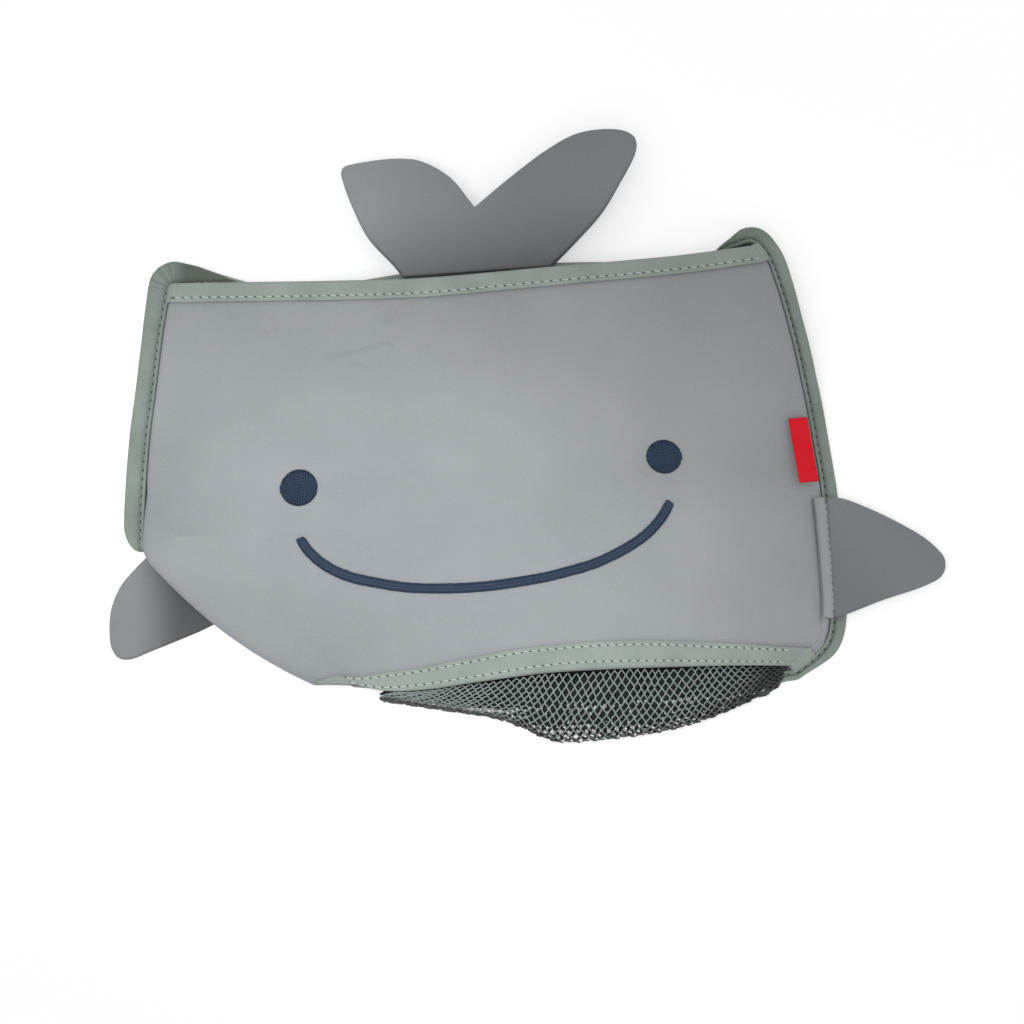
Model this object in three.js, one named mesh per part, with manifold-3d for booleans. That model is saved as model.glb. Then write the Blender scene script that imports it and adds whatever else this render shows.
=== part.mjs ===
// Whale-shaped bath toy pouch, lying on its back as it is laid out flat: a neoprene back panel on suction
// cups, a bulging neoprene front panel, a net bottom, tape bindings, tail flukes and two side flippers.
// Millimetres. +X runs to the pouch's right, +Y towards the tail, +Z out of the front. The origin is the
// middle of the part of the back panel that lies flat.
import * as THREE from "three";
import Module from "manifold-3d";
import { mergeVertices } from "three/addons/utils/BufferGeometryUtils.js";

const wasm = await Module();
wasm.setup();

// Overall sizes
const pouchWidth = 340; // seam to seam where the sides are widest
const pouchHeight = 212; // front top edge to the lower edge of the bottom tape
const restDrop = 155; // front top edge down to the origin
const panelThickness = 3;
const seatGap = 0.3; // between pieces that are sewn or seated on each other

// How far the pieces stand above the surface the pouch lies on
const cupHeight = 11; // the suction cups hold the top of the back panel this high
const seamHeight = 5.2; // middle of the front panel's edge above the back panel's underside
const mouthBulge = 10; // the front's rise from its seams at the mouth
const bellyBulge = 21; // and lower down
const bellyCurvePower = 2.2;
const edgeRadius = 2.3; // how the front panel turns down into its side seams

// The lower left of the front panel is rolled under
const rollWidth = 19;
const rollRadius = 6;
const rollSeamHeight = 8.5;
const rollSagShare = 0.7; // of the bulge, lost beside the roll
const hiddenSeamMargin = 3; // the back panel stops this much further in there

// Outlines, as shares of half the pouch's width and of its height, from the top down or left to right
const halfWidth = pouchWidth / 2;
const leftEdgeShares = [
  [-0.876, 0.045], [-0.877, 0.01], [-0.905, -0.092], [-0.939, -0.25], [-0.962, -0.335], [-0.986, -0.448],
  [-0.999, -0.56], [-0.998, -0.635], [-0.945, -0.695], [-0.812, -0.806], [-0.704, -0.877],
  [-0.61, -0.926], [-0.53, -0.962],
];
const rightEdgeShares = [
  [0.862, 0.02], [0.872, 0.004], [0.893, -0.026], [0.92, -0.105], [0.944, -0.208], [0.964, -0.31],
  [0.982, -0.41], [1.001, -0.595], [1.003, -0.75], [0.996, -0.885], [0.976, -0.943],
  [0.941, -0.972], [0.88, -1.008],
];
const frontTopShares = [
  [-0.872, 0.006], [-0.6, -0.012], [-0.41, -0.023], [-0.135, -0.033], [0.25, -0.026],
  [0.63, -0.014], [0.868, 0.004],
];
const frontBottomShares = [
  [-0.41, -0.976], [-0.32, -0.997], [-0.2, -1.003], [-0.045, -0.997], [0.165, -0.99],
  [0.374, -0.994], [0.586, -1.001], [0.88, -1.008],
];
const backTopShares = [
  [-0.876, 0.045], [-0.83, 0.052], [-0.79, 0.046], [-0.735, 0.029], [-0.6, -0.007],
  [-0.41, -0.016], [-0.19, -0.002], [0.04, 0.005], [0.3, -0.002], [0.63, -0.014],
  [0.75, -0.003], [0.8, 0.013], [0.862, 0.02],
];
const backBottomShares = [
  [-0.41, -0.965], [-0.25, -0.985], [0.0, -1.0], [0.35, -1.008], [0.65, -1.014],
  [0.86, -1.01],
];
const netOutlineShares = [
  [-0.335, -1.008], [-0.23, -1.029], [-0.104, -1.052], [-0.01, -1.072], [0.07, -1.1],
  [0.13, -1.128], [0.18, -1.142], [0.31, -1.143], [0.467, -1.135], [0.574, -1.12],
  [0.683, -1.093], [0.767, -1.066], [0.84, -1.035],
];
const liftShares = { start: -0.5, end: -0.215 }; // where the back panel rises to the cups

// Tape bindings
const binding = {
  topWidth: 9, bottomWidth: 12, backWidth: 8, tape: 1, slack: 0.5, topColumn: 4, segments: 24,
  leftFlange: 11.5, rightFlange: 8.5, flangeHeight: 5, lipHeight: 6.2, lipWidth: 2.2,
};

// Tail flukes: two layers sewn together, hinged at their base seam
const layer = { thickness: 2.4, edge: 0.7, outlineSteps: 5 };
const tail = { width: 152, height: 73, tiltDegrees: -6, baseX: 6, baseY: -2.9, lift: 0.9 };
const tailShares = [
  [-0.248, 0], [-0.275, 0.09], [-0.358, 0.32], [-0.405, 0.56], [-0.43, 0.74],
  [-0.436, 0.825], [-0.424, 0.857], [-0.395, 0.872], [-0.28, 0.892], [-0.225, 0.887],
  [-0.166, 0.86], [-0.072, 0.727], [0.006, 0.488], [0.123, 0.678], [0.26, 0.877],
  [0.362, 0.981], [0.461, 1.003], [0.534, 0.973], [0.563, 0.915], [0.56, 0.829],
  [0.49, 0.571], [0.428, 0.38], [0.342, 0.194], [0.243, 0],
];
const tailNotch = 12; // the outline point where the flukes meet

// Flippers
const flipper = { length: 58.5, base: 61, topShare: -0.608, gap: 0.8, bottomZ: 8, tiltDegrees: 7 };
const flipperShares = [
  [0, 0.5], [0.13, 0.49], [0.38, 0.392], [0.655, 0.251], [0.832, 0.141], [0.949, 0.034],
  [0.996, -0.034], [0.998, -0.125], [0.958, -0.189], [0.802, -0.261], [0.43, -0.367],
  [0.074, -0.484], [0, -0.5],
];
const leftFlipper = { length: 46, base: 51, steps: 80, startShare: 0.6, endShare: 0.75 };
const leftFlipperShares = [
  [0, 0.5], [0.13, 0.51], [0.36, 0.52], [0.66, 0.5], [0.92, 0.4], [1.14, 0.22],
  [1.21, 0.13], [1.23, 0.02], [1.16, -0.07], [0.93, -0.17], [0.66, -0.28],
  [0.35, -0.4], [0, -0.5],
];
const welt = { width: 5, height: 3.6, segments: 14 };

// Embroidery and label
const embroideryGap = 0.85;
const eye = { radius: 9.3, height: 0.8, rings: 2, spokes: 24 };
const eyeShares = [[-0.533, -0.507], [0.544, -0.497]];
const smile = { width: 4.6, height: 0.8, steps: 28, endWidthShare: 0.4, endPower: 30 };
const smileSectionShares = [[-1, 0], [-1, 0.5], [-0.5, 1], [0.5, 1], [1, 0.5], [1, 0], [0.5, 0], [-0.5, 0]];
const smileShares = [
  [-0.535, -0.628], [-0.511, -0.661], [-0.461, -0.7], [-0.394, -0.73], [-0.321, -0.749],
  [-0.234, -0.764], [-0.146, -0.771], [0.0, -0.774], [0.146, -0.767], [0.215, -0.759],
  [0.335, -0.737], [0.456, -0.69], [0.519, -0.646], [0.552, -0.608],
];
const label = { width: 10, length: 33, thickness: 0.9, steps: 4, startShare: 0.415, edgeInset: 0.9 };

// Suction cups and the eyelets that carry them
const cup = {
  radius: 20, rimWidth: 1.6, rimHeight: 1.2, shoulder: 7.5, neck: 4.4, knob: 5.6,
  knobHeight: 4, knobTopShare: 0.7, hollow: 5.2, segments: 20, dropShare: -0.108,
};
const cupBellShares = [[0.62, 0.45], [0.42, 0.78]]; // of the radius and of the height to the neck
const cupHollowShares = [[0.35, 0.9], [0.66, 0.45]]; // of the radius and of the hollow's depth
const cupPlaceShares = [-0.606, -0.243, 0.243, 0.606];
const eyelet = { bore: 5, wall: 0.8, flange: 8.5, flangeThickness: 1, segments: 16 };

// Net bottom
const net = { columns: 19, rows: 7, thickness: 1.2, strandShare: 0.2, middleHeight: 12, seatLift: 1.9,
  startShare: 0.05 };

// Grid fineness of the big sheets
const grid = { roll: 6, across: 15, down: 16, backAcross: 14 };
const sideRowShares = [
  0, 0.02, 0.04, 0.07, 0.12, 0.2, 0.3, 0.4, 0.46, 0.5, 0.53, 0.56, 0.6, 0.66, 0.74, 0.82, 0.87, 0.91,
  0.94, 0.97, 1,
];
const probe = 0.002; // share of a surface used to find its slope
const searchSteps = { halving: 30, newton: 12, grid: 24, depth: 3 };
const weldTolerance = 1e-4;
const cutOverrun = 4;

// Where the bindings start and end, as shares of the edges that they run along
const backTopRange = { startShare: 0.012, endShare: 0.965 };
const leftBandRange = { startShare: 0, endShare: 0.56, taperShare: 0.46 };
const bottomBandRange = { startShare: 0.07, endShare: 0.93, fullShare: 0.3 };
const cornerTaperShares = { start: 0.05, end: 0.05 }; // of a side, where its band narrows to its ends
const bottomTapeRange = { firstColumn: 5, fullColumn: 8, startWidth: 4 };

// Where the left side's roll begins and is full, and where it turns to run along the bottom tape
const rollRange = { startShare: 0.44, endShare: 0.585, tapeTurnShare: 0.76 };
const tapeDirection = new THREE.Vector3(1, -0.12, 0).normalize();

const colours = {
  neoprene: 0x9ea4a5, tailGrey: 0x7f8687, tape: 0x9eaca2, thread: 0x3c4c68, net: 0x4a4f50,
  label: 0xd81f2e, cup: 0xdfe6e8, eyelet: 0x8b9294,
};

const wholePart = new THREE.Group();
const pouch = new THREE.Group();
pouch.position.y = restDrop;
wholePart.add(pouch);

// Small helpers

const clamp = (value, low, high) => Math.min(Math.max(value, low), high);
const smoothStep = (t) => {
  const s = clamp(t, 0, 1);
  return s * s * (3 - 2 * s);
};
const mix = (a, b, t) => a + (b - a) * t;

function finish(colour, roughness, metalness = 0) {
  return new THREE.MeshStandardMaterial({ color: colour, roughness, metalness });
}

const neoprene = finish(colours.neoprene, 0.85);
const tailNeoprene = finish(colours.tailGrey, 0.85);
const tape = finish(colours.tape, 0.8);
const thread = finish(colours.thread, 0.6);
const netYarn = finish(colours.net, 0.7);
const labelWeave = finish(colours.label, 0.7);
const clearVinyl = finish(colours.cup, 0.2);
const eyeletPlastic = finish(colours.eyelet, 0.45);

function addMesh(parent, name, geometry, material) {
  const mesh = new THREE.Mesh(geometry, material);
  mesh.name = name;
  parent.add(mesh);
  return mesh;
}

// A closed geometry from points and triangles given as indexes.
function closedGeometry(points, faces) {
  const geometry = new THREE.BufferGeometry();
  geometry.setAttribute("position", new THREE.Float32BufferAttribute(points.flatMap((p) => p.toArray()), 3));
  geometry.setIndex(faces.flat());
  return geometry;
}

// Turns a geometry into a solid for cutting, and back.
function solidFrom(geometry) {
  const bare = geometry.clone();
  bare.deleteAttribute("normal");
  bare.deleteAttribute("uv");
  const merged = mergeVertices(bare, weldTolerance);
  return new wasm.Manifold(new wasm.Mesh({
    numProp: 3,
    vertProperties: new Float32Array(merged.attributes.position.array),
    triVerts: new Uint32Array(merged.index.array),
  }));
}

function geometryFrom(solid) {
  const mesh = solid.getMesh();
  const geometry = new THREE.BufferGeometry();
  geometry.setAttribute("position", new THREE.BufferAttribute(mesh.vertProperties, 3));
  geometry.setIndex(new THREE.BufferAttribute(mesh.triVerts, 1));
  return geometry;
}

// A smooth flat curve through an outline given as shares of the pouch's half width and height.
function outlineCurve(shares) {
  const points = shares.map(([x, y]) => new THREE.Vector3(x * halfWidth, y * pouchHeight, 0));
  return new THREE.CatmullRomCurve3(points, false, "centripetal");
}

// A point of a sheet's middle surface and its unit normal, from differences along both parameters.
function sheetFrame(pointAt, a, b) {
  const a0 = Math.max(a - probe, 0), a1 = Math.min(a + probe, 1);
  const b0 = Math.max(b - probe, 0), b1 = Math.min(b + probe, 1);
  const across = pointAt(a1, b).sub(pointAt(a0, b));
  const down = pointAt(a, b1).sub(pointAt(a, b0));
  return {
    point: pointAt(a, b),
    across: across.clone().normalize(),
    down: down.clone().normalize(),
    normal: down.cross(across).normalize(),
  };
}

// A closed sheet of even thickness over a grid of parameter values.
function thickSheet(pointAt, aValues, bValues, thickness) {
  const columns = aValues.length, rows = bValues.length;
  const points = [];
  for (const side of [0.5, -0.5])
    for (const b of bValues)
      for (const a of aValues) {
        const frame = sheetFrame(pointAt, a, b);
        points.push(frame.point.addScaledVector(frame.normal, side * thickness));
      }
  const top = (i, j) => j * columns + i;
  const under = (i, j) => columns * rows + top(i, j);
  const faces = [];
  const quad = (p, q, r, s) => faces.push([p, q, r], [p, r, s]);
  for (let j = 0; j < rows - 1; j++)
    for (let i = 0; i < columns - 1; i++) {
      quad(top(i, j), top(i, j + 1), top(i + 1, j + 1), top(i + 1, j));
      quad(under(i, j), under(i + 1, j), under(i + 1, j + 1), under(i, j + 1));
    }
  for (let i = 0; i < columns - 1; i++) {
    quad(top(i, 0), top(i + 1, 0), under(i + 1, 0), under(i, 0));
    quad(top(i + 1, rows - 1), top(i, rows - 1), under(i, rows - 1), under(i + 1, rows - 1));
  }
  for (let j = 0; j < rows - 1; j++) {
    quad(top(0, j + 1), top(0, j), under(0, j), under(0, j + 1));
    quad(top(columns - 1, j), top(columns - 1, j + 1), under(columns - 1, j + 1), under(columns - 1, j));
  }
  return closedGeometry(points, faces);
}

// A closed loft through rings of points, each ring running the same way round; a ring's first half and
// its second half, read backwards, face each other, which is how the ends are closed.
function loft(rings) {
  const count = rings[0].length, last = rings.length - 1;
  const faces = [];
  for (let k = 0; k < last; k++)
    for (let i = 0; i < count; i++) {
      const next = (i + 1) % count;
      const [p, q, r, s] = [k * count + i, k * count + next, (k + 1) * count + next, (k + 1) * count + i];
      faces.push([p, q, r], [p, r, s]);
    }
  for (let i = 0; i < count / 2 - 1; i++) {
    const j = count - 1 - i, far = last * count;
    faces.push([i, j, j - 1], [i, j - 1, i + 1]);
    faces.push([far + i, far + j - 1, far + j], [far + i, far + i + 1, far + j - 1]);
  }
  const geometry = closedGeometry(rings.flat(), faces);
  return outward(geometry);
}

// Turns a closed geometry's faces outwards if they point in.
function outward(geometry) {
  if (solidFrom(geometry).volume() >= 0) return geometry;
  const index = geometry.index.array;
  for (let i = 0; i < index.length; i += 3) [index[i + 1], index[i + 2]] = [index[i + 2], index[i + 1]];
  return geometry;
}

const evenly = (count) => Array.from({ length: count + 1 }, (_, i) => i / count);

// The pouch's surfaces

// A side of the pouch. The front starts below the back panel's top corners, where the mouth ends.
function makeSide(edgeShares, turn, frontCorner) {
  const side = { edge: outlineCurve(edgeShares), turn };
  side.frontStart = shareDown(side, frontCorner[1] * pouchHeight);
  return side;
}
const sides = {
  left: makeSide(leftEdgeShares, 1, frontTopShares[0]),
  right: makeSide(rightEdgeShares, -1, frontTopShares.at(-1)),
};
const frontTop = outlineCurve(frontTopShares);
const frontBottom = outlineCurve(frontBottomShares);
const backTop = outlineCurve(backTopShares);
const backBottom = outlineCurve(backBottomShares);
const netOutline = outlineCurve(netOutlineShares);

// How high the back panel's underside lies at a distance up the pouch.
function backLift(y) {
  return cupHeight * eased(y / pouchHeight, liftShares.start, liftShares.end);
}

// How far a value has gone through a range, eased at both ends.
const eased = (value, start, end) => smoothStep((value - start) / (end - start));

// How much the left side is rolled under at a share of its length.
const rollAmount = (v) => eased(v, rollRange.startShare, rollRange.endShare);

// A side's outer edge, its direction into the pouch, and how the front panel turns under there.
function sideAt(side, v) {
  const point = side.edge.getPointAt(v);
  const along = side.edge.getTangentAt(v);
  const inward = new THREE.Vector3(-along.y, along.x, 0).multiplyScalar(side.turn);
  const roll = side === sides.left ? rollAmount(v) : 0;
  if (roll) inward.lerp(tapeDirection, eased(v, rollRange.tapeTurnShare, 1)).normalize();
  return {
    point,
    inward,
    inset: mix(edgeRadius, rollWidth, roll),
    radius: mix(edgeRadius, rollRadius, roll),
    seamZ: mix(backLift(point.y) + seamHeight, rollSeamHeight, roll),
    roll,
  };
}

// The turned-in edge of the front panel: half a circle, drawn out flat towards both ends where it is
// rolled under, from the seam (q = 0) up to the bulge (q = 1).
function turnedEdge(side, q, v) {
  const at = sideAt(side, mix(side.frontStart, 1, v));
  const angle = Math.PI * (q - 0.5);
  const flatRun = (at.inset - at.radius) * Math.abs(2 * q - 1) ** 3;
  const reach = at.radius * (1 - Math.cos(angle)) + flatRun + panelThickness / 2;
  const point = at.point.clone().addScaledVector(at.inward, reach);
  point.z = at.seamZ + at.radius * (1 + Math.sin(angle));
  return point;
}

// A flat patch between four curves, with its top and bottom curves pinned to the sides' ends.
function patchPoint(left, right, top, bottom, u, v) {
  const pinned = (curve, t, start, end) => curve.getPointAt(t)
    .addScaledVector(start.clone().sub(curve.getPointAt(0)), 1 - t)
    .addScaledVector(end.clone().sub(curve.getPointAt(1)), t);
  const topPoint = pinned(top, u, left(0), right(0));
  const bottomPoint = pinned(bottom, u, left(1), right(1));
  return topPoint.multiplyScalar(1 - v).addScaledVector(bottomPoint, v)
    .addScaledVector(left(v), 1 - u).addScaledVector(right(v), u)
    .addScaledVector(left(0), -(1 - u) * (1 - v)).addScaledVector(right(0), -u * (1 - v))
    .addScaledVector(left(1), -(1 - u) * v).addScaledVector(right(1), -u * v);
}

// The front panel's middle surface: a turned edge at each side and a bulge between them.
const frontColumns = grid.across + 2 * grid.roll;
const turnShare = grid.roll / frontColumns;
function frontPoint(c, v) {
  if (c < turnShare) return turnedEdge(sides.left, c / turnShare, v);
  if (c > 1 - turnShare) return turnedEdge(sides.right, (1 - c) / turnShare, v);
  const u = (c - turnShare) / (1 - 2 * turnShare);
  const flat = (side) => (t) => turnedEdge(side, 1, t).setZ(0);
  const point = patchPoint(flat(sides.left), flat(sides.right), frontTop, frontBottom, u, v);
  const edgeZ = mix(turnedEdge(sides.left, 1, v).z, turnedEdge(sides.right, 1, v).z, u);
  const rise = mix(mouthBulge, bellyBulge, smoothStep(2 * v));
  const sideRise = rise * (1 - rollSagShare * rollAmount(v) * (1 - u) ** 2);
  point.z = edgeZ + sideRise * (1 - Math.abs(2 * u - 1) ** bellyCurvePower);
  return point;
}

// The back panel's middle surface, flat low down and rising to the suction cups.
function backSide(side) {
  return (v) => {
    const at = sideAt(side, v);
    return at.point.addScaledVector(at.inward, at.inset - edgeRadius + seatGap + at.roll * hiddenSeamMargin);
  };
}
function backPoint(u, v) {
  const point = patchPoint(backSide(sides.left), backSide(sides.right), backTop, backBottom, u, v);
  point.z = backLift(point.y) + panelThickness / 2;
  return point;
}

// The share of a side's length at which it has come down to a height y of the pouch.
function shareDown(side, y) {
  let low = 0, high = 1;
  for (let i = 0; i < searchSteps.halving; i++) {
    const middle = (low + high) / 2;
    if (side.edge.getPointAt(middle).y > y) low = middle;
    else high = middle;
  }
  return low;
}

// The parameters of the front panel above a place given flat: from the nearest of a grid of places, on the
// upper side of the turned edges, by steps of Newton's method that are halved until they come nearer.
const edgeMargin = turnShare / 2 + 2 * probe;
const searchPlaces = evenly(searchSteps.grid).flatMap((cShare) => evenly(searchSteps.grid).map((vShare) => {
  const [c, v] = [mix(edgeMargin, 1 - edgeMargin, cShare), mix(2 * probe, 1 - 2 * probe, vShare)];
  return { c, v, point: frontPoint(c, v) };
}));
function frontParameters(x, y) {
  const miss = (point) => Math.hypot(point.x - x, point.y - y);
  let best = searchPlaces.reduce((a, b) => (miss(b.point) < miss(a.point) ? b : a));
  for (let i = 0; i < searchSteps.newton; i++) {
    const { c, v, point: p } = best;
    const pc = frontPoint(c + probe, v), pv = frontPoint(c, v + probe);
    const a = (pc.x - p.x) / probe, b = (pv.x - p.x) / probe;
    const d = (pc.y - p.y) / probe, e = (pv.y - p.y) / probe;
    const det = a * e - b * d;
    const cStep = ((x - p.x) * e - (y - p.y) * b) / det;
    const vStep = ((y - p.y) * a - (x - p.x) * d) / det;
    for (let share = 1; share > probe; share /= 2) {
      const cNext = clamp(c + share * cStep, edgeMargin, 1 - edgeMargin);
      const vNext = clamp(v + share * vStep, probe, 1 - 2 * probe);
      const next = { c: cNext, v: vNext, point: frontPoint(cNext, vNext) };
      if (miss(next.point) < miss(best.point)) {
        best = next;
        break;
      }
    }
    if (best.c === c && best.v === v) break;
  }
  return [best.c, best.v];
}

// A point at a height above the front panel's outer face, over a place given flat.
function overFront(x, y, height) {
  const [c, v] = frontParameters(x, y);
  const frame = sheetFrame(frontPoint, c, v);
  return frame.point.addScaledVector(frame.normal, panelThickness / 2 + height);
}

// Panels

function makeFrontPanel() {
  return thickSheet(frontPoint, evenly(frontColumns), evenly(grid.down), panelThickness);
}

function cupPlaces() {
  return cupPlaceShares.map((share) => new THREE.Vector3(share * halfWidth, cup.dropShare * pouchHeight, 0));
}

function makeBackPanel() {
  const plate = solidFrom(thickSheet(backPoint, evenly(grid.backAcross), sideRowShares, panelThickness));
  const holeRadius = eyelet.bore + eyelet.wall + seatGap;
  const holeLength = panelThickness + 2 * cutOverrun;
  return geometryFrom(cupPlaces().reduce((solid, place) => {
    const drill = new THREE.CylinderGeometry(holeRadius, holeRadius, holeLength, eyelet.segments)
      .rotateX(Math.PI / 2)
      .translate(place.x, place.y, cupHeight + panelThickness / 2);
    return solid.subtract(solidFrom(drill));
  }, plate));
}

// The share of a panel's columns at which it lies a distance in from its edge.
function depthShare(pointAt, a, edge, distance) {
  const start = pointAt(a, edge);
  let low = 0, high = searchSteps.depth * distance / pouchHeight;
  for (let i = 0; i < searchSteps.halving; i++) {
    const middle = (low + high) / 2;
    if (pointAt(a, Math.abs(edge - middle)).distanceTo(start) < distance) low = middle;
    else high = middle;
  }
  return low;
}

// Bindings: a folded tape round the edge of a panel, as a U whose arms lie on both faces. Its rings stand
// on the panel's own columns.
function edgeBinding(pointAt, edge, widthAt, columns) {
  const slot = panelThickness / 2 + binding.slack;
  const outer = slot + binding.tape;
  const turn = seatGap + binding.tape;
  const section = [
    [1, outer], [0, outer], [-turn / 2, outer], [-turn, outer / 2],
    [-turn, -outer / 2], [-turn / 2, -outer], [0, -outer], [1, -outer],
    [1, -slot], [0, -slot], [-seatGap, -slot], [-seatGap, -slot / 2],
    [-seatGap, slot / 2], [-seatGap, slot], [0, slot], [1, slot],
  ];
  const rings = columns.map((a) => {
    const widthShare = depthShare(pointAt, a, edge, widthAt(a));
    return section.map(([deep, high]) => {
      const frame = sheetFrame(pointAt, a, Math.abs(edge - (deep > 0 ? widthShare : 0)));
      const beyond = Math.min(deep, 0) * (edge ? -1 : 1);
      return frame.point.addScaledVector(frame.down, beyond).addScaledVector(frame.normal, high);
    });
  });
  return loft(rings);
}

// The grid columns from one count to another.
const columnShares = (first, last, count) => evenly(count).slice(first, last + 1);

function makeFrontTopBinding() {
  const columns = columnShares(binding.topColumn, frontColumns - grid.roll, frontColumns);
  return edgeBinding(frontPoint, 0, () => binding.topWidth, columns);
}

function makeFrontBottomTape() {
  const { firstColumn, fullColumn, startWidth } = bottomTapeRange;
  const columns = columnShares(firstColumn, frontColumns - grid.roll, frontColumns);
  const width = (a) => mix(startWidth, binding.bottomWidth, eased(a * frontColumns, firstColumn, fullColumn));
  return edgeBinding(frontPoint, 1, width, columns);
}

function makeBackTopBinding() {
  const { startShare, endShare } = backTopRange;
  const columns = columnShares(1, grid.backAcross - 1, grid.backAcross);
  return edgeBinding(backPoint, 0, () => binding.backWidth, [startShare, ...columns, endShare]);
}

// The sewn flange round the sides and bottom: a raised lip beside the panel, then a flat band.
function flange(placeAt, widthAt, steps) {
  const { flangeHeight, lipHeight, lipWidth, tape: fold } = binding;
  const rings = steps.map((t) => {
    const { point, out } = placeAt(t);
    const width = widthAt(t);
    const base = backLift(point.y);
    const lip = Math.min(lipWidth, width / 3);
    const section = [
      [0, fold / 2], [0, lipHeight - fold / 2], [lip / 2, lipHeight], [lip, lipHeight - fold / 2],
      [lip + fold / 2, flangeHeight - fold], [lip + fold, flangeHeight - fold / 2],
      [width - fold, flangeHeight - fold / 2], [width, flangeHeight / 2],
      [width - fold, 0], [lip + fold, 0], [lip + fold / 2, 0], [lip, 0], [lip / 2, 0], [0, 0],
    ];
    return section.map(([s, z]) => point.clone().addScaledVector(out, s).setZ(base + z));
  });
  return loft(rings);
}

function sideFlangePlace(side) {
  return (v) => {
    const at = sideAt(side, v);
    const out = at.inward.clone().negate();
    return { point: at.point.addScaledVector(out, seatGap), out };
  };
}

// The width of a band at its narrow ends, and how it grows away from a side's top corner.
const narrowBand = 3 * binding.lipWidth / 2;
const fromCorner = (width, v) => mix(narrowBand, width, eased(v, 0, cornerTaperShares.start));

const sideRows = (first, last) => sideRowShares.filter((v) => v >= first && v <= last);

function makeLeftBinding() {
  const { startShare, endShare, taperShare } = leftBandRange;
  const width = (v) => mix(fromCorner(binding.leftFlange, v), narrowBand, eased(v, taperShare, endShare));
  return flange(sideFlangePlace(sides.left), width, sideRows(startShare, endShare));
}

function makeRightBinding() {
  const { rightFlange } = binding;
  const width = (v) => mix(fromCorner(rightFlange, v), rightFlange / 2, eased(v, 1 - cornerTaperShares.end, 1));
  return flange(sideFlangePlace(sides.right), width, sideRowShares);
}

// The band along the back panel's bottom edge, which the net is sewn to.
function bottomBandPlace(u) {
  const point = backPoint(u, 1).setZ(0);
  const along = sheetFrame(backPoint, u, 1).across.setZ(0).normalize();
  const out = new THREE.Vector3(along.y, -along.x, 0);
  return { point: point.addScaledVector(out, seatGap), out };
}
function bottomBandWidth(u) {
  const { startShare, fullShare } = bottomBandRange;
  return mix(narrowBand, binding.rightFlange, eased(u, startShare, fullShare));
}
function makeBottomBinding() {
  const { startShare, endShare } = bottomBandRange;
  const steps = evenly(binding.segments).map((t) => mix(startShare, endShare, t));
  return flange(bottomBandPlace, bottomBandWidth, steps);
}

// Net bottom: rhombic gaps on a sheet that bulges out below the tape and turns under to the back band.
function netPoint(w, q) {
  const tapeC = mix(turnShare + net.startShare, 1 - turnShare, w);
  const tapeFrame = sheetFrame(frontPoint, tapeC, 1);
  const beyond = binding.tape + 2 * seatGap + net.thickness / 2;
  const start = tapeFrame.point.addScaledVector(tapeFrame.down, beyond);
  const middle = netOutline.getPointAt(w).setZ(net.middleHeight);
  const u = mix(bottomBandRange.startShare, bottomBandRange.endShare, w);
  const band = bottomBandPlace(u);
  const end = band.point.addScaledVector(band.out, bottomBandWidth(u) + 4 * seatGap + net.thickness);
  end.z = backLift(end.y) + net.seatLift;
  middle.z = Math.min(net.middleHeight, mix(start.z, end.z, 0.5));
  const swing = Math.sin(Math.PI * q), height = Math.cos(Math.PI * q);
  const from = q <= 0.5 ? start : end;
  const point = middle.clone().lerp(from, 1 - swing);
  point.z = middle.z + Math.abs(height) * (from.z - middle.z);
  return point;
}

function makeNet() {
  const wide = 2 * net.columns, tall = net.rows + 1;
  const points = [], faces = [], seen = new Map();
  const corner = (a, b) => {
    const key = a + "," + b;
    if (!seen.has(key)) seen.set(key, addPair(a, b));
    return seen.get(key);
  };
  const addPair = (a, b) => {
    const frame = sheetFrame(netPoint, a / wide, b / tall);
    for (const side of [0.5, -0.5])
      points.push(frame.point.clone().addScaledVector(frame.normal, side * net.thickness));
    return points.length - 2;
  };
  const face = (p, q, r) => faces.push([p, q, r], [p + 1, r + 1, q + 1]);
  const wall = (p, q) => faces.push([p, p + 1, q + 1], [p, q + 1, q]);
  const inPlace = (a, b) => a >= 0 && a <= wide && b >= 0 && b <= tall;
  for (let b = 0; b <= tall; b++)
    for (let a = (b + 1) % 2; a <= wide; a += 2) {
      const around = [[a, b - 1], [a - 1, b], [a, b + 1], [a + 1, b]].filter(([i, j]) => inPlace(i, j));
      if (around.length === 4) {
        const outer = around.map(([i, j]) => corner(i, j));
        const inner = around.map(([i, j]) => addPair(mix(i, a, net.strandShare), mix(j, b, net.strandShare)));
        for (let k = 0; k < 4; k++) {
          const next = (k + 1) % 4;
          face(outer[k], outer[next], inner[next]);
          face(outer[k], inner[next], inner[k]);
          wall(inner[next], inner[k]);
        }
      } else {
        const [p, q, r] = around.map(([i, j]) => corner(i, j));
        face(p, q, r);
        if (b === tall) wall(q, r);
        else if (a === 0) wall(p, q);
        else wall(r, p);
      }
    }
  return outward(closedGeometry(points, faces));
}

// Tail and flippers: flat outlines cut from sheet, with softened edges.
function layerGeometry(shares, width, height, sharpPoint) {
  const place = ([x, y]) => new THREE.Vector3(x * width, y * height, 0);
  const points = shares.map(place);
  const runs = sharpPoint ? [points.slice(0, sharpPoint + 1), points.slice(sharpPoint)] : [points];
  const dense = runs.flatMap((run, k) => {
    const curve = new THREE.CatmullRomCurve3(run, false, "centripetal");
    const all = curve.getSpacedPoints(Math.round(run.length * layer.outlineSteps / 3));
    return k ? all.slice(1) : all;
  });
  const shape = new THREE.Shape(dense.map((p) => new THREE.Vector2(p.x, p.y)));
  return new THREE.ExtrudeGeometry(shape, {
    depth: layer.thickness - 2 * layer.edge,
    bevelEnabled: true,
    bevelThickness: layer.edge,
    bevelSize: layer.edge,
    bevelOffset: -layer.edge,
    bevelSegments: 1,
  }).translate(0, 0, layer.edge);
}

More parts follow.
